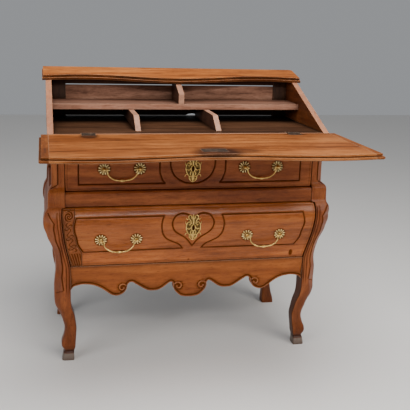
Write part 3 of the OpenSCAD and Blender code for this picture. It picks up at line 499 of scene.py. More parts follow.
# Tables of the case, as in the part's source: height or distance, then value, in millimetres
POST_OUT = [[0, -27], [14, -30], [26, -32], [33, -35], [39, -33], [51, -27], [65, -26], [81, -32],
            [104, -37], [122, -36], [143, -31], [160, -26], [179, -18], [196, -9], [213, -5], [231, -4],
            [272, -4], [308, -7], [339, -11], [369, -9], [402, -3], [422, 4], [445, 14], [464, 20],
            [480, 26], [496, 28], [509, 27], [520, 25], [533, 21], [545, 14], [555, 13], [595, 11],
            [602, 9], [608, 4], [613, 0], [790, 0]]
LEG_IN = [[0, -68], [31, -68], [46, -72], [58, -73], [94, -76], [114, -77], [140, -74], [168, -69],
          [194, -61], [221, -58], [246, -58]]
STILE_IN = [[246, -58], [342, -58], [366, -53], [402, -45], [438, -38], [486, -32], [522, -30], [546, -32],
            [547, -43], [790, -43]]
POST_FRONT = [[0, 2], [15, 2], [26, 4], [33, 8], [39, 5], [51, 2], [65, 5], [81, 10], [102, 13],
              [122, 12], [148, 6], [174, 0], [205, -8], [236, -13], [267, -15], [298, -14], [329, -12],
              [369, -15], [410, -24], [440, -31], [470, -36], [495, -37], [519, -33], [539, -23],
              [551, -15], [559, -13], [596, -12], [606, -4], [613, 0], [790, 0]]
DRAWER_FRONT = [[329, -5], [342, -6], [369, -10], [410, -20], [440, -27], [470, -32], [495, -33],
                [517, -29], [535, -20], [547, -12], [559, -10]]
LEG_BACK = [[0, 42], [29, 41], [58, 45], [92, 50], [114, 51], [153, 48], [194, 46], [246, 46]]
CANT = [[0, 6], [31, 6], [92, 8], [153, 10], [220, 20], [246, 28], [259, 30], [308, 20], [365, 18],
        [435, 21], [500, 33], [530, 10], [537, 4], [606, 3], [611, 19], [790, 19]]
REAR_IN = [[0, -66], [20, -66], [61, -64], [112, -64], [163, -62], [205, -54], [246, -40]]
REAR_OUT = [[0, -18], [20, -21], [51, -28], [92, -33], [132, -30], [174, -21], [215, -10], [252, -4]]
REAR_SET = [[0, 3], [20, 5], [61, 13], [102, 14], [153, 8], [205, 2], [246, 0]]
KNEE_Z = 246
BED_UNDER = BED_Z - 20
POST_BACK = 46
CASE_D = 435
REAR_FRONT = CASE_D - 46
Z_UPPER = 597
Z_MID = 547
Z_APRON = 342
Z_RAIL = 754
GAP = 1.2


def post_out(z):
    return HALF_W + smooth(POST_OUT, z)


def post_in(z):
    return HALF_W + (smooth(LEG_IN, z) if z < KNEE_Z else lookup(STILE_IN, z))


def post_front(z):
    return smooth(POST_FRONT, z)


def drawer_front(z):
    return smooth(DRAWER_FRONT, z)


def groove(distance, width):
    """1 in the middle of a carved line, 0 outside it."""
    return max(0.0, 1 - (abs(distance) / (width / 2)) ** 2)


LINE_LOW, LINE_HIGH, STILE_LOW = 262, 536, 622
CARVED = 2.2
# How round the arrises of the posts are, by height
ROUNDING = [[0, 4], [28, 4], [36, 7], [50, 13], [90, 12], [200, 10], [250, 5], [300, 3.5], [532, 3.5],
            [548, 2], [765, 2.5]]


def post_line(z, along, cant, inner):
    """Depth of the carved lines on a front post. along is the distance from the arris between
    the cant and the front, negative on the cant; inner is the distance from the inner edge."""
    deep = groove(along - 2, 6) if LINE_LOW < z < LINE_HIGH or z > STILE_LOW else 0.0
    for top in (LINE_LOW, STILE_LOW):
        if top - 16 < z <= top:
            slant = -cant * 1.3 * (top - z) / 16 + 2
            deep = max(deep, groove(along - slant, 7))
    if 240 < z < LINE_HIGH:
        fade = min(1.0, (z - 240) / 30)
        deep = max(deep, fade * groove(inner - 5, 4.5), fade * 0.8 * groove(inner - 14, 5))
    return deep


def front_post(side, word):
    arc, flat = 5, 11
    rings, cuts = [], []
    for z in levels((0, 60, 230, 290, 530, 630, BED_UNDER), (2.5, 6, 3, 6, 2, 12)):
        out, inn, front, cant = post_out(z), post_in(z), post_front(z), lookup(CANT, z)
        back = smooth(LEG_BACK, z) if z < KNEE_Z else POST_BACK
        corners = [Vector(p) for p in ((inn, back), (out, back), (out, front + cant),
                                       (out - cant, front), (inn, front))]
        turn = lookup(ROUNDING, z)
        wide = turn * (1.6 if z < 200 else 1.0)
        placed = []
        radii = [min(turn, 6), min(turn, 6), wide, wide, min(turn, 4)]
        for i, p in enumerate(rounded(corners, radii, arc, flat)):
            corner, step = divmod(i, arc + flat)
            beside = corner >= 3 and p.x < corners[3].x
            along = corners[3].x - p.x if beside else -(p - corners[3]).length
            on_face = corner > 1 and p.y - front < cant + 1 and not (corner == 4 and step >= arc)
            deep = post_line(z, along, cant, p.x - inn) if on_face else 0.0
            normal = Vector((1, -1)).normalized() if along < 0 else Vector((0, -1))
            q = p - normal * deep * CARVED
            placed.append(at(side * q.x, q.y, z))
            # How deep a point lies in a carved line also darkens it: painted shade.
            cuts.append(deep)
        rings.append(placed)
    look = left_z if side < 0 else right_z
    loft(f"post_front_{word}", rings, look, (f"front_post_{word}",), cuts=cuts)


def rear_post(side, word):
    rings = []
    for z in levels((0, 260, 620), (6, 6)) + [BED_UNDER]:
        out = HALF_W + smooth(REAR_OUT, z) if z < 252 else post_out(z)
        inn = HALF_W + (smooth(REAR_IN, z) if z < KNEE_Z else -40)
        front = REAR_FRONT + (smooth(REAR_SET, z) if z < KNEE_Z else 0)
        corners = [Vector(p) for p in ((inn, CASE_D), (out, CASE_D), (out, front), (inn, front))]
        turn = 7 if z < 220 else 3
        rings.append([at(side * p.x, p.y, z) for p in rounded(corners, [turn] * 4, 4, 3)])
    loft(f"post_rear_{word}", rings, rear_z, (f"rear_post_{word}",))


def grid(rows, cols):
    """The faces of a grid of points, and the points round its rim in order."""
    faces = [(a, a + 1, a + cols + 1, a + cols) for r in range(rows - 1)
             for a in range(r * cols, (r + 1) * cols - 1)]
    last = (rows - 1) * cols
    rim = list(range(cols)) + [r * cols + cols - 1 for r in range(1, rows)]
    rim += list(range(last + cols - 2, last - 1, -1)) + [r * cols for r in range(rows - 2, 0, -1)]
    return faces, rim


def shell(name, outer, inner, look, body, stands_for, crease=50, cuts=None):
    """A closed sheet between two grids of points of the same size."""
    faces, rim = grid(len(outer), len(outer[0]))
    points = [p for row in outer + inner for p in row]
    half = len(points) // 2
    faces += [tuple(half + face[k] for k in (0, 3, 2, 1)) for face in faces]
    faces += [(a, b, half + b, half + a) for a, b in zip(rim, rim[1:] + rim[:1])]
    piece(name, points, faces, look, body, stands_for, crease, cuts)


def bombe_side(side, word):
    low, rise, set_in, thick, count = 269, 24, 4, 18, 52
    outer, inner = [], []
    middle = (POST_BACK + REAR_FRONT) / 2
    reach = middle - POST_BACK
    for y in steps(POST_BACK, REAR_FRONT, 8):
        turn = acos(max(-1.0, min(1.0, (middle - y) / (reach + 1))))
        arch = low + rise * sin(turn) * (1 + 0.25 * cos(4 * turn))
        zs = [arch + (Z_UPPER - arch) * i / count for i in range(count + 1)]
        outer.append([at(side * (post_out(z) - set_in), y, z) for z in zs])
        inner.append([at(side * (post_out(z) - set_in - thick), y, z) for z in zs])
    shell(f"side_bombe_{word}", outer, inner, case_y, "carcass", (f"bombe_side_{word}",))


SIDES = ((-1, "left"), (1, "right"))
for side, word in SIDES:
    front_post(side, word)
    rear_post(side, word)
    bombe_side(side, word)


# Places of the pulls

PULL_SPAN = 117
HEAD_OUT = 12
ROSETTE_R = 20
PETALS = 12
SEAT_D = 0.8
FRONT_BACK = 20
# Each row's pulls: distance from the desk's middle and height
PULLS = {"upper": (236, 671), "lower": (249, 438)}
ENDS = ((-1, -1), (-1, 1), (1, -1), (1, 1))


def pull_places(row):
    """The middle of a pull: distance from the desk's middle, y, z and lean of its seats."""
    x, z = PULLS[row]
    if row == "upper":
        return x, 0.0, z, 0.0
    lean = atan2(drawer_front(z - ROSETTE_R) - drawer_front(z + ROSETTE_R), 2 * ROSETTE_R)
    return x, drawer_front(z) + SEAT_D, z, lean


# Carved drawer fronts

def curve(points, per=5):
    """A smooth line through points, per steps to each stretch."""
    count = len(points)
    out = []
    for i in range(count - 1):
        quad = [points[min(max(i + k, 0), count - 1)] for k in (-1, 0, 1, 2)]
        for s in range(per):
            t = s / per
            out.append([0.5 * (2 * b + (c - a) * t + (2 * a - 5 * b + 4 * c - d) * t * t
                               + (3 * b - a - 3 * c + d) * t ** 3)
                        for a, b, c, d in zip(*quad)])
    return out + [list(points[-1])]


class Lines:
    """Carved lines on a face, kept by cell so that the nearest stretch is found quickly."""

    CELL = 12.0

    def __init__(self, paths, width, depth):
        self.width = width
        self.depth = depth
        self.cells = {}
        for path in paths:
            for a, b in zip(path, path[1:]):
                spans = [range(int((min(a[k], b[k]) - width) // self.CELL),
                               int((max(a[k], b[k]) + width) // self.CELL) + 1) for k in (0, 1)]
                for cell in product(*spans):
                    self.cells.setdefault(cell, []).append((a, b))

    def deep(self, x, z):
        best = 1e9
        for a, b in self.cells.get((int(x // self.CELL), int(z // self.CELL)), ()):
            dx, dz = b[0] - a[0], b[1] - a[1]
            span = dx * dx + dz * dz
            t = 0.0 if span == 0 else max(0.0, min(1.0, ((x - a[0]) * dx + (z - a[1]) * dz) / span))
            best = min(best, hypot(x - a[0] - t * dx, z - a[1] - t * dz))
        return groove(best, self.width)


UPPER_PANEL = [[93, 620], [377, 620], [377, 732], [110, 732]]
UPPER_PANEL_END = [[110, 732], [112, 714], [112, 689], [111, 658], [106, 642], [101, 629], [93, 620]]
UPPER_SHIELD = [[0, 618], [13, 619], [27, 622], [43, 630], [59, 642], [68, 656], [74, 673], [76, 689],
                [75, 708], [72, 725], [60, 737]]
LOWER_PANEL_SIDE = [[364, 394], [381, 422], [387, 450], [393, 472], [393, 492], [387, 515]]
LOWER_PANEL_END = [[99, 515], [106, 494], [106, 472], [101, 451], [87, 433], [66, 422], [45, 411], [33, 396]]
LOWER_HEART = [[0, 405], [6, 412], [14, 424], [27, 437], [44, 448], [61, 461], [69, 476], [71, 491],
               [66, 505], [56, 516], [40, 521], [25, 520], [13, 514], [0, 503]]


def both(paths):
    return paths + [[[-x, z] for x, z in path] for path in paths]


def keyhole(x, z, key):
    """Whether a point lies in a keyhole."""
    return hypot(x, z - key - 4.5) < 4.7 or (abs(x) < 2.5 and key - 11 < z < key + 4.5)


def carved_front(row, look, end, face, z0, z1, panels, key, knots=()):
    """A drawer front: a fine grid over the face with its panels and a line round the rim cut in,
    and a plain back."""
    lines = (panels, rim_line(end, z0, z1))
    cell, soft, halo_r = 2.0, 2.2, 23.5
    x_mid, _, z_mid, _ = pull_places(row)
    seats = [(side * x_mid + way * PULL_SPAN / 2, z_mid) for side, way in ENDS]
    rows = steps(z0, z1, cell)
    cols = max(2, round(2 * end((z0 + z1) / 2) / cell))
    points, cuts = [], []
    for z in rows:
        half = end(z)
        for c in range(cols + 1):
            x = -half + 2 * half * c / cols
            deep = max(line.deep(x, z) * line.depth for line in lines)
            edge = max(0.0, min(half - abs(x), z - z0, z1 - z))
            back = 0.0 if edge > soft else soft - sqrt(soft ** 2 - (soft - edge) ** 2)
            hole = keyhole(x, z, key)
            knot = max([0.0] + [1 - hypot((x - kx) / rx, (z - kz) / rz) for kx, kz, rx, rz in knots])
            points.append(at(x, face(z) + deep + back + (9.0 if hole else 0.0) + min(2.0, knot * 5), z))
            # Darkening for the groove attribute: painted shade in the carved lines and the keyhole, a halo
            # round each rosette of soiling and painted shade, and dark knots.
            near = min(hypot(x - sx, z - sz) for sx, sz in seats)
            cuts.append(1.0 if hole else min(1.0, max(deep / 2.4, (halo_r - near) / 4.0, knot * 3)))
    faces, rim = grid(len(rows), cols + 1)
    base, count = len(points), len(rim)
    points += [Vector((points[i].x, FRONT_BACK * MM + HINGE_Y, points[i].z)) for i in rim]
    cuts += [0.0] * count
    faces += [(rim[i], base + i, base + (i + 1) % count, rim[(i + 1) % count]) for i in range(count)]
    faces.append(tuple(range(base, base + count)))
    piece(f"front_{row}", points, faces, look, f"{row}_drawer", (f"{row}_front",), cuts=cuts)


UPPER_SPAN = (Z_UPPER + GAP, Z_RAIL - GAP)
LOWER_SPAN = (Z_APRON + GAP, Z_MID - GAP)
UPPER_HALF = HALF_W - 43 - GAP
UPPER_KEY, LOWER_KEY = 667, 472


def rim_line(end, z0, z1):
    """The fine line that runs round a front, near its edge."""
    inset = 7
    zs = steps(z0 + inset, z1 - inset, 10)
    path = [[end(z) - inset, z] for z in zs] + [[inset - end(z), z] for z in reversed(zs)]
    return Lines([path + path[:1]], 3.0, 1.2)


def upper_end(z):
    return UPPER_HALF


def upper_face(z):
    return 0.0


def lower_end(z):
    return post_in(z) - GAP


upper_lines = Lines(both([UPPER_PANEL, curve(UPPER_PANEL_END), curve(UPPER_SHIELD)]), 6.0, 3.2)
carved_front("upper", case_x, upper_end, upper_face, *UPPER_SPAN, upper_lines, UPPER_KEY)
panel_top = [LOWER_PANEL_SIDE[-1], LOWER_PANEL_END[0]]
panel_foot = [LOWER_PANEL_END[-1], LOWER_PANEL_SIDE[0]]
lower_lines = Lines(both([panel_top, panel_foot, curve(LOWER_PANEL_SIDE), curve(LOWER_PANEL_END),
                          curve(LOWER_HEART)]), 6.2, 3.4)
carved_front("lower", amber_x, lower_end, drawer_front, *LOWER_SPAN, lower_lines, LOWER_KEY,
             ((358, 363, 8, 14), (-8, 352, 4, 3)))


# Apron with its beaded edge and volutes

APRON_EDGE = [[0, 215], [16, 216], [31, 220], [43, 229], [53, 240], [59, 253], [59, 264], [65, 272],
              [74, 269], [86, 260], [99, 251], [115, 245], [132, 244], [147, 246], [162, 254], [176, 263],
              [190, 272], [200, 278], [209, 277], [216, 269], [218, 258], [224, 246], [233, 238], [245, 233],
              [257, 232], [270, 236], [284, 246], [297, 256], [311, 265], [327, 272], [342, 276], [362, 278],
              [376, 277], [389, 274], [399, 269], [406, 259]]
APRON_FACE = -6
APRON_T = 22
# How far from the apron's lower edge its distance is still told
NEAR = 15.0
# Each volute: distance from the middle, height, radius, where its curl starts and which way it turns
VOLUTES = ((41, 257, 16, 30, 1), (234, 260, 15, 150, -1))


def offset_line(path, distance):
    """A line beside path, distance away on its left."""
    out = []
    for i, p in enumerate(path):
        a, b = path[max(i - 1, 0)], path[min(i + 1, len(path) - 1)]
        dx, dz = b[0] - a[0], b[1] - a[1]
        size = hypot(dx, dz)
        out.append([p[0] - dz / size * distance, p[1] + dx / size * distance])
    return out


def bead_height(distance):
    """Relief of the apron's lower edge: a thin lip, then a groove, then the plain face."""
    bead, cut = 3.2, 6.5
    if distance < bead:
        return 1.4 * sqrt(max(0.0, 1 - (2 * distance / bead - 1) ** 2)) - 0.2
    if distance < bead + cut:
        return -2.4 * groove(distance - bead - cut / 2, cut)
    return 0.0


def hollow(x, z, k):
    """Depth, 0 to 1, of the carved hollows that wind in at the volutes."""
    best = 0.0
    for vx, vz, radius, _, _ in VOLUTES:
        away = hypot(abs(x) - vx * k, z - vz)
        turn = atan2(z - vz, abs(x) - vx * k)
        strokes = 0.78 + 0.22 * cos(9 * turn)
        best = max(best, groove(away - 0.72 * radius, 0.95 * radius) * strokes)
    return best


def within(x, z, loop):
    """Whether a point lies inside a closed outline."""
    inside = False
    for a, b in zip(loop, loop[1:] + loop[:1]):
        if (a[1] > z) != (b[1] > z) and x < a[0] + (b[0] - a[0]) * (z - a[1]) / (b[1] - a[1]):
            inside = not inside
    return inside


def apron():
    end = HALF_W - 58
    k = end / APRON_EDGE[-1][0]
    half = [[x * k, z] for x, z in curve(APRON_EDGE, 4)]
    edge = [[-x, z] for x, z in reversed(half[1:])] + half
    outline = edge + [[end - 2 * end * i / 70, Z_APRON] for i in range(71)]
    count = len(outline)
    near = Lines([edge], 2 * NEAR, 1.0)

    def gap_to_edge(x, z):
        u = near.deep(x, z)
        return NEAR * sqrt(1 - u) if u > 0 else 99.0

    inside = []
    for distance in (0.8, 1.6, 2.4, 3.3, 4.4, 5.6, 6.6, 7.8, 9.0, 10.2):
        inside += [p for p in offset_line(edge, distance) if abs(p[0]) < end - 1
                   and gap_to_edge(*p) > distance * 0.9]
    for side, (vx, vz, radius, _, _) in product((-1, 1), VOLUTES):
        for ring, r in enumerate(steps(1.5, radius + 1.5, 1.5)):
            for n in range(6 + 4 * ring):
                turn = 2 * pi * (n + 0.5 * (ring % 2)) / (6 + 4 * ring)
                p = [side * vx * k + r * cos(turn), vz + r * sin(turn)]
                if within(p[0], p[1], outline) and gap_to_edge(*p) > 1.0:
                    inside.append(p)
    cell = 9
    for i, j in product(range(int(2 * end // cell)), range(14)):
        p = [-end + 5 + i * cell, 222 + j * cell]
        if p[1] < Z_APRON - 3 and gap_to_edge(*p) > 12:
            inside.append(p)
    flat = [Vector(p) for p in outline + inside]
    loop = [(i, (i + 1) % count) for i in range(count)]
    verts, _, tris, _, _, _ = delaunay_2d_cdt(flat, loop, [], 1, 1e-5)
    points, cuts = [], []
    for p in verts:
        distance = gap_to_edge(p.x, p.y)
        rise = bead_height(distance) if abs(p.y - Z_APRON) > 0.5 else 0.0
        carved = hollow(p.x, p.y, k) if distance > 2.5 else 0.0
        points.append(at(p.x, APRON_FACE - rise + 3.0 * carved, p.y))
        # Hollows and the groove behind the bead are darkened as painted shade, and shadow paints shade above
        # the lower edge.
        shadow = 0.42 * max(0.0, min(1.0, (17 - distance) / 9)) if distance > 3.2 else 0.0
        cuts.append(min(1.0, max(1.15 * carved, -rise / 2.0, shadow)))
    base = len(points)
    points += [at(x, APRON_FACE + APRON_T, z) for x, z in outline]
    cuts += [0.0] * count
    index = {(round(v.x, 3), round(v.y, 3)): i for i, v in enumerate(verts)}
    front = [index[(round(p.x, 3), round(p.y, 3))] for p in flat[:count]]
    faces = [tuple(t) for t in tris] + [tuple(range(base, base + count))]
    faces += [(front[i], base + i, base + j, front[j]) for i, j in loop]
    piece("apron_carved", points, faces, apron_x, "carcass", ("apron",), 40, cuts)
    for (side, word), (n, (x, z, r, start, way)) in product(SIDES, enumerate(VOLUTES)):
        volute(f"volute_{n}_{word}", side, x * k, z, r, start, way)


def volute(name, side, x, z, radius, start, way):
    """A raised curl that carries the lip on and winds in to a small ball."""
    turns, core, count, rim = 0.88, 5.2, 40, radius - 0.6
    rings = []
    for i in range(count + 1):
        t = i / count
        r = rim - (rim - core) * t ** 0.85
        angle = radians(start + way * 360 * turns * t)
        width = 2.1 + 0.7 * sin(pi * min(1.0, t * 1.1))
        outward = Vector((cos(angle), sin(angle)))
        middle = Vector((x, z)) + outward * r
        ring = [(middle + outward * width * u, v) for u, v in circle(8)]
        rings.append([at(side * p.x, APRON_FACE + 0.6 - 2.6 * v, p.y) for p, v in ring])
    loft(name, rings, curl_x, (), 60)

    # The ground disc inside each curl, in very dark wood, is painted shade.
    wide = radius - 2.4
    ball = (x + core * cos(angle), z + core * sin(angle))
    for end, look, middle, count, profile in (
            ("_ball", curl_x, ball, 16, ((1.0, 3.9), (-1.2, 3.8), (-2.8, 2.8), (-3.6, 1.2))),
            ("_ground", hollow_shade_x, (x, z), 32, ((1.0, wide), (-0.35, wide), (-0.4, 1.0)))):
        rings = [[at(side * (middle[0] + r * u), APRON_FACE + h, middle[1] + r * v) for u, v in circle(count)]
                 for h, r in profile]
        loft(name + end, rings, look, (), 60)


apron()


# Brass: rosettes with their posts, bails and pierced keyhole plates

# Half a turn, the section of petals and scrolls
HALF_RING = [(cos(pi * k / 7), sin(pi * k / 7)) for k in range(8)]


def petal(points, faces, place, angle):
    """One petal: a tapered dome that points outward."""
    count, rim = 9, 0.4
    start = len(points)
    for i in range(count):
        t = i / (count - 1)
        r = 7.2 + (ROSETTE_R - 7.4) * t
        swell = 0.7 + 1.6 * min(t, 0.8) ** 0.8
        half = swell if t < 0.8 else swell * sqrt(max(0.0, 1 - ((t - 0.8) / 0.21) ** 2))
        high = 0.9 + 1.3 * sin(pi * min(t * 1.05, 1.0) * 0.85)
        for across, rise in HALF_RING:
            side = half * across
            up = rim + max(0.0, high - rim) * rise if half > 0.3 else rim
            u = r * cos(angle) - side * sin(angle)
            v = r * sin(angle) + side * cos(angle)
            points.append(place(u, up, v))
    faces += tube(count, len(HALF_RING), start)


def revolved(points, faces, place, profile, count=28):
    """A round form on a rosette's axis: (height, radius) pairs from back to front."""
    faces += tube(len(profile), count, len(points), False)
    points += [place(r * u, out, r * v) for out, r in profile for u, v in circle(count)]


# Middles and posts of the rosettes: height over the seat and radius
DISC = ((0.0, 0), (0.0, 8.2), (1.0, 7.8), (1.2, 0))
POST = ((1.0, 0), (1.0, 5.4), (2.4, 5.2), (3.6, 4.4), (4.6, 3.2), (6.5, 3.0), (8.2, 4.2), (10.2, 5.2),
        (12.0, 5.5), (13.8, 5.3), (16.0, 4.4), (17.6, 3.1), (18.4, 1.8), (18.8, 0))


def rosettes(row):
    """The row's rosettes with their posts, bolts and nuts."""
    x_mid, y_mid, z_mid, lean = pull_places(row)
    back = (y_mid - FRONT_BACK) / cos(lean)
    bolt = ((back - 6, 0), (back - 6, 2.2), (back - 5.6, 2.5), (1, 2.5), (1, 0))
    nut = ((back - 5, 0), (back - 5, 4.4), (back - 4.4, 5), (back - 2, 5), (back - 1.5, 4.6), (back - 1.5, 0))
    cast, dark, petals = ([], []), ([], []), ([], [])
    for side, end in ENDS:
        def place(u, out, v, x=side * x_mid + end * PULL_SPAN / 2):
            return at(x + u, y_mid - out * cos(lean) - v * sin(lean),
                      z_mid + v * cos(lean) - out * sin(lean))

        for i in range(PETALS):
            petal(*petals, place, 2 * pi * (i + 0.5) / PETALS)
        revolved(*dark, place, DISC)
        revolved(*cast, place, POST)
        revolved(*cast, place, bolt, 16)
        revolved(*cast, place, nut, 6)
    piece(f"rosettes_{row}", *cast, brass, f"{row}_drawer", (f"{row}_rosettes",), 40)
    piece(f"rosette_middles_{row}", *dark, dull_shaded_brass, f"{row}_drawer", (), 40)
    piece(f"rosette_petals_{row}", *petals, highlit_brass, f"{row}_drawer", (), 40)


# Half of a bail's line: parts of its half width, and parts of its drop
BAIL = [[1.0, 0.0], [1.03, 0.13], [1.03, 0.3], [0.96, 0.5], [0.8, 0.7], [0.58, 0.85], [0.32, 0.93],
        [0.0, 0.955]]
BAIL_DROP = 39
ROD_X = PULL_SPAN / 2 - 11
# Radius of a bail's rod by its place from the end, 0, to the middle, 1
ROD_R = [[0.0, 2.9], [0.05, 3.1], [0.1, 1.9], [0.35, 2.1], [0.62, 2.7], [0.76, 2.9], [0.8, 3.5],
         [0.84, 2.3], [0.9, 2.4], [0.93, 3.1], [0.95, 4.6], [1.0, 5.3]]


def bail(name, row, side):
    x_mid, y_mid, z_mid, lean = pull_places(row)
    pivot = Vector((side * x_mid, y_mid - HEAD_OUT * cos(lean), z_mid - HEAD_OUT * sin(lean)))
    half = curve([[x * ROD_X, -d * BAIL_DROP] for x, d in BAIL], 8)
    path = half + [[-x, z] for x, z in reversed(half[:-1])]
    count, sides = len(path), 12
    points = []
    for i, (x, z) in enumerate(path):
        ahead = Vector(path[min(i + 1, count - 1)]) - Vector(path[max(i - 1, 0)])
        across = Vector((ahead.y, -ahead.x)).normalized()
        t = i / (count - 1) * 2
        r = 0.88 * lookup(ROD_R, min(t, 2 - t))
        points += [at(pivot.x + x + across.x * r * u, pivot.y + r * v, pivot.z + z + across.y * r * u)
                   for u, v in circle(sides)]
    faces = tube(count, sides)
    for end in (-1, 1):
        faces += tube(3, sides, len(points))
        for out, r in ((-1, 2.0), (16.5, 2.0), (17, 1.5)):
            points += [at(pivot.x + end * (ROD_X + out), pivot.y + r * u, pivot.z + r * v)
                       for u, v in circle(sides)]
    piece(f"bail_{row}_{name}_cast", points, faces, brass, f"bail_{row[0]}{name[0]}", (f"bail_{row}_{name}",))


# Scrolls of a keyhole plate, right half, in parts of its half width and half height
SCROLLS = [
    ([[0.12, -0.6], [0.45, -0.56], [0.76, -0.32], [0.9, 0.02], [0.8, 0.34], [0.54, 0.46], [0.38, 0.34],
      [0.46, 0.2], [0.6, 0.25]], 1.9, 1.0),
    ([[0.22, 0.3], [0.38, 0.56], [0.6, 0.72], [0.56, 0.9], [0.34, 0.93], [0.22, 0.8], [0.3, 0.7]],
     1.8, 0.9),
    ([[0.0, 0.28], [0.05, 0.55], [0.0, 0.8], [0.0, 1.0]], 2.2, 1.2),
    ([[0.02, 0.58], [0.16, 0.74], [0.17, 0.9]], 1.4, 0.8),
    ([[0.48, -0.54], [0.44, -0.76], [0.24, -0.92], [0.0, -0.98]], 1.7, 1.4),
    ([[0.26, -0.22], [0.34, -0.42], [0.18, -0.56], [0.12, -0.74], [0.26, -0.8], [0.34, -0.68]], 1.7, 0.9),
    ([[0.26, 0.02], [0.5, -0.1], [0.72, -0.06], [0.92, -0.1]], 1.6, 1.3),
    ([[0.84, 0.24], [0.97, 0.36], [0.98, 0.5]], 1.5, 0.7),
    ([[0.7, -0.42], [0.92, -0.46], [0.99, -0.6]], 1.5, 0.7),
    ([[0.56, 0.66], [0.8, 0.64], [0.92, 0.74]], 1.4, 0.7),
    ([[0.0, -0.3], [0.05, -0.55], [0.0, -0.96]], 1.9, 1.4),
]


def ribbon(points, faces, path, place, r0, r1, closed=False):
    """A half-round strip along a path, r0 to r1 in half width."""
    sides, count, start = len(HALF_RING), len(path), len(points)
    for i, p in enumerate(path):
        a = path[i - 1] if i or closed else p
        b = path[(i + 1) % count] if i < count - 1 or closed else p
        dx, dz = b[0] - a[0], b[1] - a[1]
        r = r0 + (r1 - r0) * i / count
        for across, rise in HALF_RING:
            side = r * across / hypot(dx, dz)
            points.append(place(p[0] - dz * side, 0.9 + 1.35 * r * rise, p[1] + dx * side))
    faces += tube(count, sides, start, not closed)
    if closed:
        last = (count - 1) * sides
        faces += [(start + last + k, start + last + j, start + j, start + k)
                  for k, j in ((k, (k + 1) % sides) for k in range(sides))]


def keyhole_plate(row, key, face):
    """A relief plate with leafy scrolls standing on it, and a hole for the key."""
    half_w, half_h, middle = 29, 47, key + 1
    spokes, turns = 96, 7
    points, faces = [], []

    def place(x, up, z):
        return at(x, face(z) - up, z)

    for top in (0, 1):
        for k, (u, v) in enumerate(circle(spokes)):
            a = 2 * pi * k / spokes
            inner = 1.0
            while keyhole(u * inner, key + v * inner, key):
                inner += 0.2
            inner += 0.5
            r = 0.78 + 0.06 * cos(6 * a) + 0.05 * cos(10 * a + radians(30) * sin(2 * a))
            outer = Vector((half_w * r * u * (1 + 0.22 * v), middle + half_h * r * v))
            start = Vector((u * inner, key + v * inner))
            for i in range(turns):
                t = i / (turns - 1)
                p = start.lerp(outer, t)
                swell = sin(pi * t) * (0.5 + 0.35 * sin(9 * a + 7 * t))
                points.append(place(p.x, top * (1.0 + swell), p.y))
    half = spokes * turns
    for k in range(spokes):
        near, far = k * turns, (k + 1) % spokes * turns
        for i in range(turns - 1):
            a, b, c, d = near + i, near + i + 1, far + i + 1, far + i
            faces += [(a, b, c, d), (half + a, half + d, half + c, half + b)]
        faces += [(near + i, far + i, half + far + i, half + near + i) for i in (0, turns - 1)]
    piece(f"plate_{row}_ground", points, faces, dull_shaded_brass, f"{row}_drawer")
    points, faces = [], []
    ribbon(points, faces, [[6.6 * u, key + 0.5 + 11.5 * v] for u, v in circle(32)], place, 1.5, 1.5, True)
    for path, r0, r1 in SCROLLS:
        line = curve([[x * (half_w - r0), middle + z * (half_h - r0)] for x, z in path])
        for flip in (-1, 1):
            ribbon(points, faces, [[flip * x, z] for x, z in line], place, r0, r1)
    piece(f"plate_{row}", points, faces, brass, f"{row}_drawer", (f"{row}_escutcheon",))


for row in PULLS:
    rosettes(row)
for (side, word), row in product(SIDES, PULLS):
    bail(word, row, side)
keyhole_plate("upper", UPPER_KEY, upper_face)
keyhole_plate("lower", LOWER_KEY, drawer_front)


# Carved strip at the left end of the lower drawer: leafy gouges above, reeds below

def strip_depth(u, v):
    """Depth of the carving, 0 to 1. u runs -1 to 1 across, v 0 to 1 upward: reeds, leaves, a scroll."""
    rim = max(groove(abs(u) - 0.9, 0.16), groove(v - 0.985, 0.02), groove(v - 0.015, 0.02))
    if v < 0.26:
        reed = 0.5 - 0.5 * cos(2 * pi * 2.6 * (u + 0.35 * v / 0.26))
        body = 0.9 * reed if abs(u) < 0.82 and not 0.235 < v else 0.0
    elif v < 0.8:
        unit = (v - 0.26) / 0.18
        t = unit % 1
        sway = 0.42 * sin(2 * pi * unit)
        stem = groove(u - sway, 0.34)
        leaf = groove(hypot((u + sway * 1.1) / 0.42, (t - 0.5) / 0.26) - 1.0, 0.5)
        vein = groove(u + sway * 1.1 - (t - 0.5) * 0.8, 0.22) * (1.0 if abs(t - 0.5) < 0.3 else 0.0)
        body = max(0.8 * stem, leaf, 0.6 * vein)
    else:
        turn = atan2((v - 0.89) / 0.085, u / 0.8)
        r = hypot((v - 0.89) / 0.085, u / 0.8)
        body = groove((r * 2.2 - turn / pi) % 1.0 - 0.5, 0.8) if r < 0.95 else 0.0
    return max(rim, body if abs(u) < 0.84 else 0.0)


# Inner edge of the strip: height, distance from the middle
STRIP_EDGE = [[342, 368], [394, 368], [422, 384], [450, 390], [472, 396], [492, 396], [515, 390], [547, 390]]


def carved_strip():
    low, high = (corner.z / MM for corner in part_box("carved_strip"))
    set_in, proud, cols = 2, 2.5, 40
    outer, inner, cuts = [], [], []
    for z in steps(low, high, 1.0):
        left = set_in - lower_end(z)
        wide = -lookup(STRIP_EDGE, z) - left
        xs = [left + wide * c / cols for c in range(cols + 1)]
        depths = [strip_depth(2 * c / cols - 1, (z - low) / (high - low)) for c in range(cols + 1)]
        outer.append([at(x, drawer_front(z) - proud + CARVED * deep, z) for x, deep in zip(xs, depths)])
        inner.append([at(x, drawer_front(z) + 1.0, z) for x in xs])
        # The carving's depth also darkens it: painted shade.
        cuts += depths
    cuts += [0.0] * len(cuts)
    shell("strip_carved", outer, inner, strip_z, "lower_drawer", ("carved_strip",), 60, cuts)


carved_strip()


# Floor, light and camera

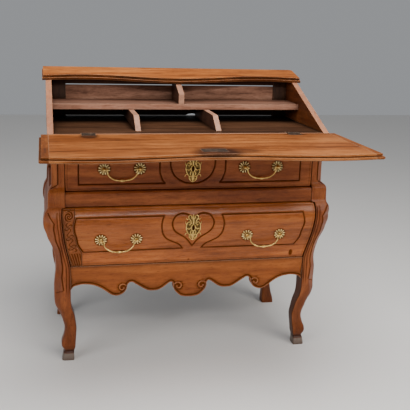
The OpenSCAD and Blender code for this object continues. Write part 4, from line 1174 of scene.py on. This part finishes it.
def floor():
    half = 6.0
    corners = [(-half, -half, 0), (half, -half, 0), (half, half, 0), (-half, half, 0)]
    mesh = bpy.data.meshes.new("floor")
    mesh.from_pydata(corners, [], [(0, 1, 2, 3)])
    mesh.materials.append(plain("studio_floor", (0.74, 0.72, 0.69), 0.55))
    add("floor", mesh)


def lamp(name, place, target, size, power, colour=(1.0, 1.0, 1.0)):
    data = bpy.data.lights.new(name, "AREA")
    data.shape = "RECTANGLE"
    data.size, data.size_y = size
    data.energy = power
    data.color = colour
    obj = add(name, data)
    obj.location = place
    obj.rotation_euler = (Vector(target) - Vector(place)).to_track_quat("-Z", "Y").to_euler()


def world(colour, strength):
    data = bpy.data.worlds.new("studio")
    data.use_nodes = True
    back = data.node_tree.nodes["Background"]
    back.inputs["Color"].default_value = (*colour, 1.0)
    back.inputs["Strength"].default_value = strength
    bpy.context.scene.world = data


def camera(place, yaw, pitch, roll, focal, centre, image=410):
    """The photograph's view: its place in the drawing frame, turns in radians, and its focal length,
    centre and width in pixels."""
    data = bpy.data.cameras.new("camera")
    data.sensor_width = 36.0
    data.lens = focal / image * data.sensor_width
    data.shift_x = 0.5 - centre[0] / image
    data.shift_y = centre[1] / image - 0.5
    obj = add("camera", data)
    obj.matrix_world = Matrix.Translation(at(*place))
    for angle, axis in ((-yaw, "Z"), (pi / 2 + pitch, "X"), (roll, "Z")):
        obj.matrix_world = obj.matrix_world @ Matrix.Rotation(angle, 4, axis)
    bpy.context.scene.camera = obj


floor()
world((0.86, 0.89, 0.93), 0.35)
lamp("key", (1.7, -2.6, 2.5), (0, 0, 0.5), (2.2, 1.6), 66.0, (1.0, 0.96, 0.91))
lamp("fill", (-2.4, -1.6, 1.8), (0, 0, 0.5), (1.8, 1.8), 34.0, (0.97, 0.98, 1.0))
lamp("top", (0.2, -0.6, 3.0), (0, 0, 0.6), (2.0, 1.2), 78.0)
lamp("window", (0.1, -3.1, 2.45), (0, 0, 0.5), (1.2, 0.22), 34.0, (0.98, 0.98, 1.0))
camera((-482.2, -2234.9, 1161.9), 0.2173, -0.2354, 0.0316, 702.16, (195.9, 184.55))
